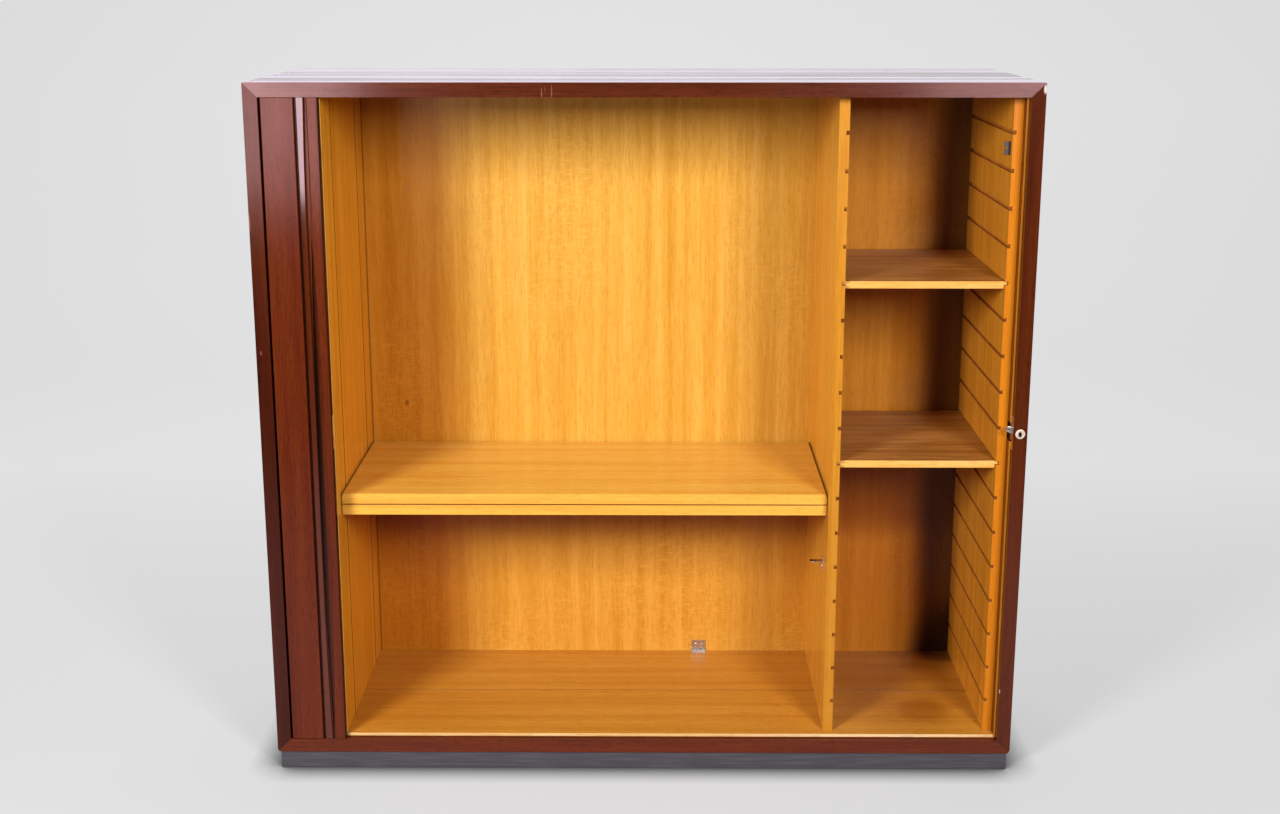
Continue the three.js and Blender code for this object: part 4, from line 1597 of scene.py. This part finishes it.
@dataclass
class Fittings:
    """Shelf brackets, the foot bracket and the clip, with the brackets' screws.

    Attributes:
        arris_mm: Rounding of the fittings' edges.
        plate_mm: Thickness of their plates.
        screw_radius_mm: Radius of a screw's head.
        screw_height_mm: How far the head stands off the plate.
        screw_segments: Faces round the head.
        slot_mm: Width of the screw's slot.
        slot_from: Height on the head above which the slot is cut, as part of its height.
        slot_depth: Depth of the slot, as part of the head's height.
        shelf_screw_at: Height of a shelf bracket's screw, as part of the plate's.
        foot_screws_at: Places of the foot bracket's screws, as parts of its width.
        foot_screw_height: Their height, as part of its height.
    """

    arris_mm: float = 0.2
    plate_mm: float = 1.0
    screw_radius_mm: float = 2.7
    screw_height_mm: float = 0.9
    screw_segments: int = 24
    slot_mm: float = 0.7
    slot_from: float = 0.3
    slot_depth: float = 0.4
    shelf_screw_at: float = 0.3
    foot_screws_at: tuple[float, float] = (0.3, 0.7)
    foot_screw_height: float = 0.6

    def build_screw(
        self, name: str, place: Vector, outward: Vector, material: bpy.types.Material
    ) -> None:
        """Builds a slotted round head.

        Args:
            name: The screw's name.
            place: Middle of its underside, on the plate.
            outward: The way that it faces.
            material: Its finish.
        """
        radius = self.screw_radius_mm * MM
        height = self.screw_height_mm * MM
        half_slot = self.slot_mm * MM / 2
        form = bmesh.new()
        bmesh.ops.create_uvsphere(
            form,
            u_segments=self.screw_segments, v_segments=self.screw_segments // 2, radius=radius,
        )
        bmesh.ops.bisect_plane(
            form, geom=form.verts[:] + form.edges[:] + form.faces[:], dist=0,
            plane_co=(0, 0, 0), plane_no=(0, 0, 1), clear_inner=True,
        )
        rim = [e for e in form.edges if e.is_boundary]
        bmesh.ops.contextual_create(form, geom=rim)
        bmesh.ops.scale(form, vec=(1, 1, height / radius), verts=form.verts[:])
        for side in (-1, 1):
            bmesh.ops.bisect_plane(
                form, geom=form.verts[:] + form.edges[:] + form.faces[:], dist=0,
                plane_co=(side * half_slot, 0, 0), plane_no=(1, 0, 0),
            )
        groove = [
            v for v in form.verts
            if abs(v.co.x) < half_slot + WELD and v.co.z > height * self.slot_from
        ]
        bmesh.ops.translate(form, vec=(0, 0, -height * self.slot_depth), verts=groove)
        turn = outward.to_track_quat("Z", "X").to_matrix().to_4x4()
        bmesh.ops.transform(form, matrix=Matrix.Translation(place) @ turn, verts=form.verts[:])
        piece = new_object(name, form)
        dress(piece, material, Slot.NICKEL)
        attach(piece, "carcass")
        LOG.info("screw %s", name)

    def build(self) -> None:
        """Builds the fittings and their screws."""
        nickel = NICKEL.material()
        steel = STEEL.material()
        plate = self.plate_mm * MM
        for place, facing in (
            ("left_front", 1),
            ("left_rear", 1),
            ("right_front", -1),
            ("right_rear", -1),
            ("spare", -1),
        ):
            node = f"bracket_{place}"
            Board(node, "carcass", Slot.NICKEL, self.arris_mm).build(nickel)
            low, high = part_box(node)
            x = low.x + plate if facing > 0 else high.x - plate
            z = low.z + self.shelf_screw_at * (high.z - low.z)
            spot = Vector((x, (low.y + high.y) / 2, z))
            self.build_screw(f"{node}_screw", spot, Vector((facing, 0, 0)), nickel)
        Board("foot_bracket", "carcass", Slot.NICKEL, self.arris_mm).build(nickel)
        low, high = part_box("foot_bracket")
        z = low.z + self.foot_screw_height * (high.z - low.z)
        for share in self.foot_screws_at:
            spot = Vector((low.x + share * (high.x - low.x), high.y - plate, z))
            name = f"foot_bracket_screw_{int(share * 10)}"
            self.build_screw(name, spot, Vector(TO_FRONT), nickel)
        Board("wall_clip", "carcass", Slot.STEEL, self.arris_mm).build(steel)


@dataclass(frozen=True)
class Lamp:
    """A soft rectangular lamp.

    Attributes:
        name: Its name.
        place: Where it stands.
        target: What it points at.
        size: Its width and height.
        watts: Its power.
    """

    name: str
    place: Place
    target: Place
    size: tuple[float, float]
    watts: float


# Two soft lamps in front, a weak low one towards the leading rail, and one high up behind the
# object that lights its top.
LAMPS = (
    Lamp("lamp_left", (-1.73, -2.8, 1.8), (0.0, 0.0, 0.55), (0.73, 0.92), 108.5),
    Lamp("lamp_right", (1.23, -2.8, 1.8), (0.0, 0.0, 0.55), (0.66, 0.92), 72.0),
    Lamp("lamp_low", (-1.18, -2.8, 0.86), (-0.55, -0.2, 0.86), (0.56, 0.5), 9.5),
    Lamp("lamp_behind", (0.0, 3.2, 3.4), (0.0, 0.2, 0.6), (3.6, 1.2), 60.0),
)


@dataclass
class Studio:
    """The pale sweep, the lamps, the dim fill and the camera.

    Attributes:
        sweep_width: Width of floor and backdrop.
        floor_front: Where the floor begins, in front.
        wall_y: Place of the backdrop.
        wall_height: Its height.
        bend: Radius between floor and backdrop.
        bend_steps: Faces across the bend.
        paper: The backdrop's colour as it lights the object.
        paper_seen: Its colour to the camera and in reflections.
        glow: Colour of the light that it gives off there.
        glow_y: Places, from front to back, between which the glow's strength changes.
        glow_strength: The strength at those places.
        contact_mm: Reach of the painted contact shadow, a dark line where the object meets the floor.
        contact_levels: Openness to the sky at which that line is darkest and has ended.
        contact_light: Part of the light that is left at its darkest.
        room_y: Places, from back to front, between which reflections of the sweep go dark.
        room_dark: How dark they go, from 0 to 1.
        bounce_share: Share of a lamp's light that is kept once it has bounced.
        fill_strength: Strength of the fill from all sides.
        sky: Colour of the surroundings beyond the sweep.
        sky_in_gloss: How much reflections see of them, from 0 to 1.
        lens_mm: The camera's lens.
        sensor_mm: Width of its sensor.
        camera_place: The camera's place.
        pitch_deg: How far it looks down.
        yaw_deg: How far it looks to the left.
    """

    sweep_width: float = 16.0
    floor_front: float = -6.0
    wall_y: float = 4.6
    wall_height: float = 6.0
    bend: float = 2.0
    bend_steps: int = 24
    paper: str = "#8f8e90"
    paper_seen: str = "#969697"
    glow: str = "#dededf"
    glow_y: tuple[float, float] = (-0.3, 1.6)
    glow_strength: tuple[float, float] = (0.60, 0.83)
    contact_mm: float = 60.0
    contact_levels: tuple[float, float] = (0.45, 0.98)
    contact_light: float = 0.1
    room_y: tuple[float, float] = (-0.7, -2.2)
    room_dark: float = 0.9
    bounce_share: float = 0.52
    fill_strength: float = 0.06
    sky: str = "#dedddf"
    sky_in_gloss: float = 0.08
    lens_mm: float = 48.03
    sensor_mm: float = 36.0
    camera_place: Place = (0.01222, -2.7929, 1.25728)
    pitch_deg: float = 13.98
    yaw_deg: float = 0.39

    def backdrop_material(self) -> bpy.types.Material:
        """Matt paper, evenly pale to the camera, that keeps the object's shadow.

        Reflections see it too, but dark in front of the object, where the room would be.

        Returns:
            The material.
        """
        material, tree = fresh_material("backdrop_paper")
        path = add_node(tree, "ShaderNodeLightPath")
        seen = add_node(
            tree, "ShaderNodeMath",
            {0: path.outputs["Is Camera Ray"], 1: path.outputs["Is Glossy Ray"]},
            operation="MAXIMUM",
        ).outputs[0]
        surface = add_node(tree, "ShaderNodeTexCoord").outputs["Object"]
        behind = add_node(tree, "ShaderNodeSeparateXYZ", {0: surface}).outputs["Y"]
        even_out = add_node(
            tree, "ShaderNodeMapRange",
            {"Value": behind, "From Min": self.glow_y[0], "From Max": self.glow_y[1],
             "To Min": self.glow_strength[0], "To Max": self.glow_strength[1]},
        ).outputs[0]
        # Painted contact shadow: the glow and the paper near the object are dimmed.
        near = add_node(
            tree, "ShaderNodeAmbientOcclusion", {"Distance": self.contact_mm * MM}, samples=8,
        ).outputs["AO"]
        kept = add_node(
            tree, "ShaderNodeMapRange",
            {"Value": near, "From Min": self.contact_levels[0], "From Max": self.contact_levels[1],
             "To Min": self.contact_light, "To Max": 1.0},
        ).outputs[0]
        strength = add_node(
            tree, "ShaderNodeMath", {0: even_out, 1: kept}, operation="MULTIPLY"
        ).outputs[0]
        matt = add_node(tree, "ShaderNodeBsdfDiffuse", {"Color": linear(self.paper)})
        paper = add_node(tree, "ShaderNodeBsdfDiffuse", {"Color": linear(self.paper_seen)})
        glow = add_node(
            tree, "ShaderNodeEmission", {"Color": linear(self.glow), "Strength": strength}
        )
        dimmed_foot = add_node(tree, "ShaderNodeMixShader", {0: kept, 2: paper.outputs[0]})
        even = add_node(
            tree, "ShaderNodeAddShader", {0: dimmed_foot.outputs[0], 1: glow.outputs[0]}
        )
        mixed = add_node(
            tree, "ShaderNodeMixShader", {0: seen, 1: matt.outputs[0], 2: even.outputs[0]}
        )
        ahead = add_node(
            tree, "ShaderNodeMapRange",
            {"Value": behind, "From Min": self.room_y[0], "From Max": self.room_y[1],
             "To Min": 0.0, "To Max": self.room_dark},
        ).outputs[0]
        darkened = add_node(
            tree, "ShaderNodeMath", {0: path.outputs["Is Glossy Ray"], 1: ahead},
            operation="MULTIPLY",
        ).outputs[0]
        room = add_node(tree, "ShaderNodeMixShader", {0: darkened, 1: mixed.outputs[0]})
        add_node(tree, "ShaderNodeOutputMaterial", {"Surface": room.outputs[0]})
        return material

    def build_sweep(self) -> None:
        """Builds floor and backdrop as one bent sheet."""
        form = bmesh.new()
        half = self.sweep_width / 2
        profile = [(self.floor_front, 0.0)]
        for step in range(self.bend_steps + 1):
            turn = math.pi / 2 * step / self.bend_steps
            profile.append((
                self.wall_y - self.bend + self.bend * math.sin(turn),
                self.bend - self.bend * math.cos(turn),
            ))
        profile.append((self.wall_y, self.wall_height))
        verts = [form.verts.new((-half, y, z)) for y, z in profile]
        edges = [form.edges.new(pair) for pair in zip(verts, verts[1:])]
        swept = bmesh.ops.extrude_edge_only(form, edges=edges)
        moved = [v for v in swept["geom"] if isinstance(v, bmesh.types.BMVert)]
        bmesh.ops.translate(form, vec=(self.sweep_width, 0, 0), verts=moved)
        for face in form.faces:
            face.smooth = True
        sweep = new_object("studio_sweep", form)
        sweep.data.materials.append(self.backdrop_material())

    def add_lamp(self, lamp: Lamp) -> None:
        """Adds a lamp.

        Args:
            lamp: The lamp.
        """
        light = bpy.data.lights.new(lamp.name, "AREA")
        light.shape = "RECTANGLE"
        light.size, light.size_y = lamp.size
        light.energy = lamp.watts
        self.hold_back(light)
        holder = bpy.data.objects.new(lamp.name, light)
        holder.location = lamp.place
        aim = Vector(lamp.target) - Vector(lamp.place)
        holder.rotation_euler = aim.to_track_quat("-Z", "Y").to_euler()
        bpy.context.scene.collection.objects.link(holder)

    def hold_back(self, light: bpy.types.Light) -> None:
        """Weakens a lamp's light where it has bounced already, for the photograph's contrast.

        The ray depth without its glossy bounces is 1 where the lamp lights what the camera or
        a reflection sees, and more after each bounce.

        Args:
            light: The lamp's light.
        """
        light.use_nodes = True
        tree = light.node_tree
        tree.nodes.clear()
        path = add_node(tree, "ShaderNodeLightPath").outputs
        depth = add_node(
            tree, "ShaderNodeMath", {0: path["Ray Depth"], 1: path["Glossy Depth"]},
            operation="SUBTRACT",
        ).outputs[0]
        bounced = add_node(
            tree, "ShaderNodeMath", {0: depth, 1: 1.5}, operation="GREATER_THAN"
        ).outputs[0]
        strength = add_node(
            tree, "ShaderNodeMath", {0: bounced, 1: self.bounce_share - 1, 2: 1.0},
            operation="MULTIPLY_ADD",
        ).outputs[0]
        glow = add_node(tree, "ShaderNodeEmission", {"Strength": strength})
        add_node(tree, "ShaderNodeOutputLight", {"Surface": glow.outputs[0]})

    def build_world(self) -> None:
        """A dim even fill that looks pale to the camera and a little so in reflections."""
        world = bpy.data.worlds.new("studio")
        bpy.context.scene.world = world
        world.use_nodes = True
        tree = world.node_tree
        tree.nodes.clear()
        path = add_node(tree, "ShaderNodeLightPath")
        seen = add_node(
            tree, "ShaderNodeMath",
            {0: path.outputs["Is Glossy Ray"], 1: self.sky_in_gloss,
             2: path.outputs["Is Camera Ray"]},
            operation="MULTIPLY_ADD", use_clamp=True,
        ).outputs[0]
        fill = add_node(
            tree, "ShaderNodeBackground",
            {"Color": linear("#ffffff"), "Strength": self.fill_strength},
        )
        pale = add_node(
            tree, "ShaderNodeBackground", {"Color": linear(self.sky), "Strength": 1.0}
        )
        mixed = add_node(
            tree, "ShaderNodeMixShader", {0: seen, 1: fill.outputs[0], 2: pale.outputs[0]}
        )
        add_node(tree, "ShaderNodeOutputWorld", {"Surface": mixed.outputs[0]})

    def build_camera(self) -> None:
        """Places the camera as the photograph's was."""
        data = bpy.data.cameras.new("camera")
        data.lens = self.lens_mm
        data.sensor_width = self.sensor_mm
        camera = bpy.data.objects.new("camera", data)
        camera.location = self.camera_place
        camera.rotation_euler = (math.radians(90 - self.pitch_deg), 0, math.radians(self.yaw_deg))
        bpy.context.scene.collection.objects.link(camera)
        bpy.context.scene.camera = camera

    def build(self) -> None:
        """Builds the studio."""
        self.build_sweep()
        self.build_world()
        for lamp in LAMPS:
            self.add_lamp(lamp)
        self.build_camera()
        bpy.context.scene.view_settings.view_transform = "Standard"
        LOG.info("studio")


def main() -> None:
    """Builds every sub-assembly in order."""
    logging.basicConfig(level=logging.INFO, format="%(name)s: %(message)s")
    Studio().build()
    Carcass().build()
    Interior().build()
    Curtain().build()
    LeadingRail().build()
    Lock().build()
    Fittings().build()


if __name__ == "__main__":
    main()
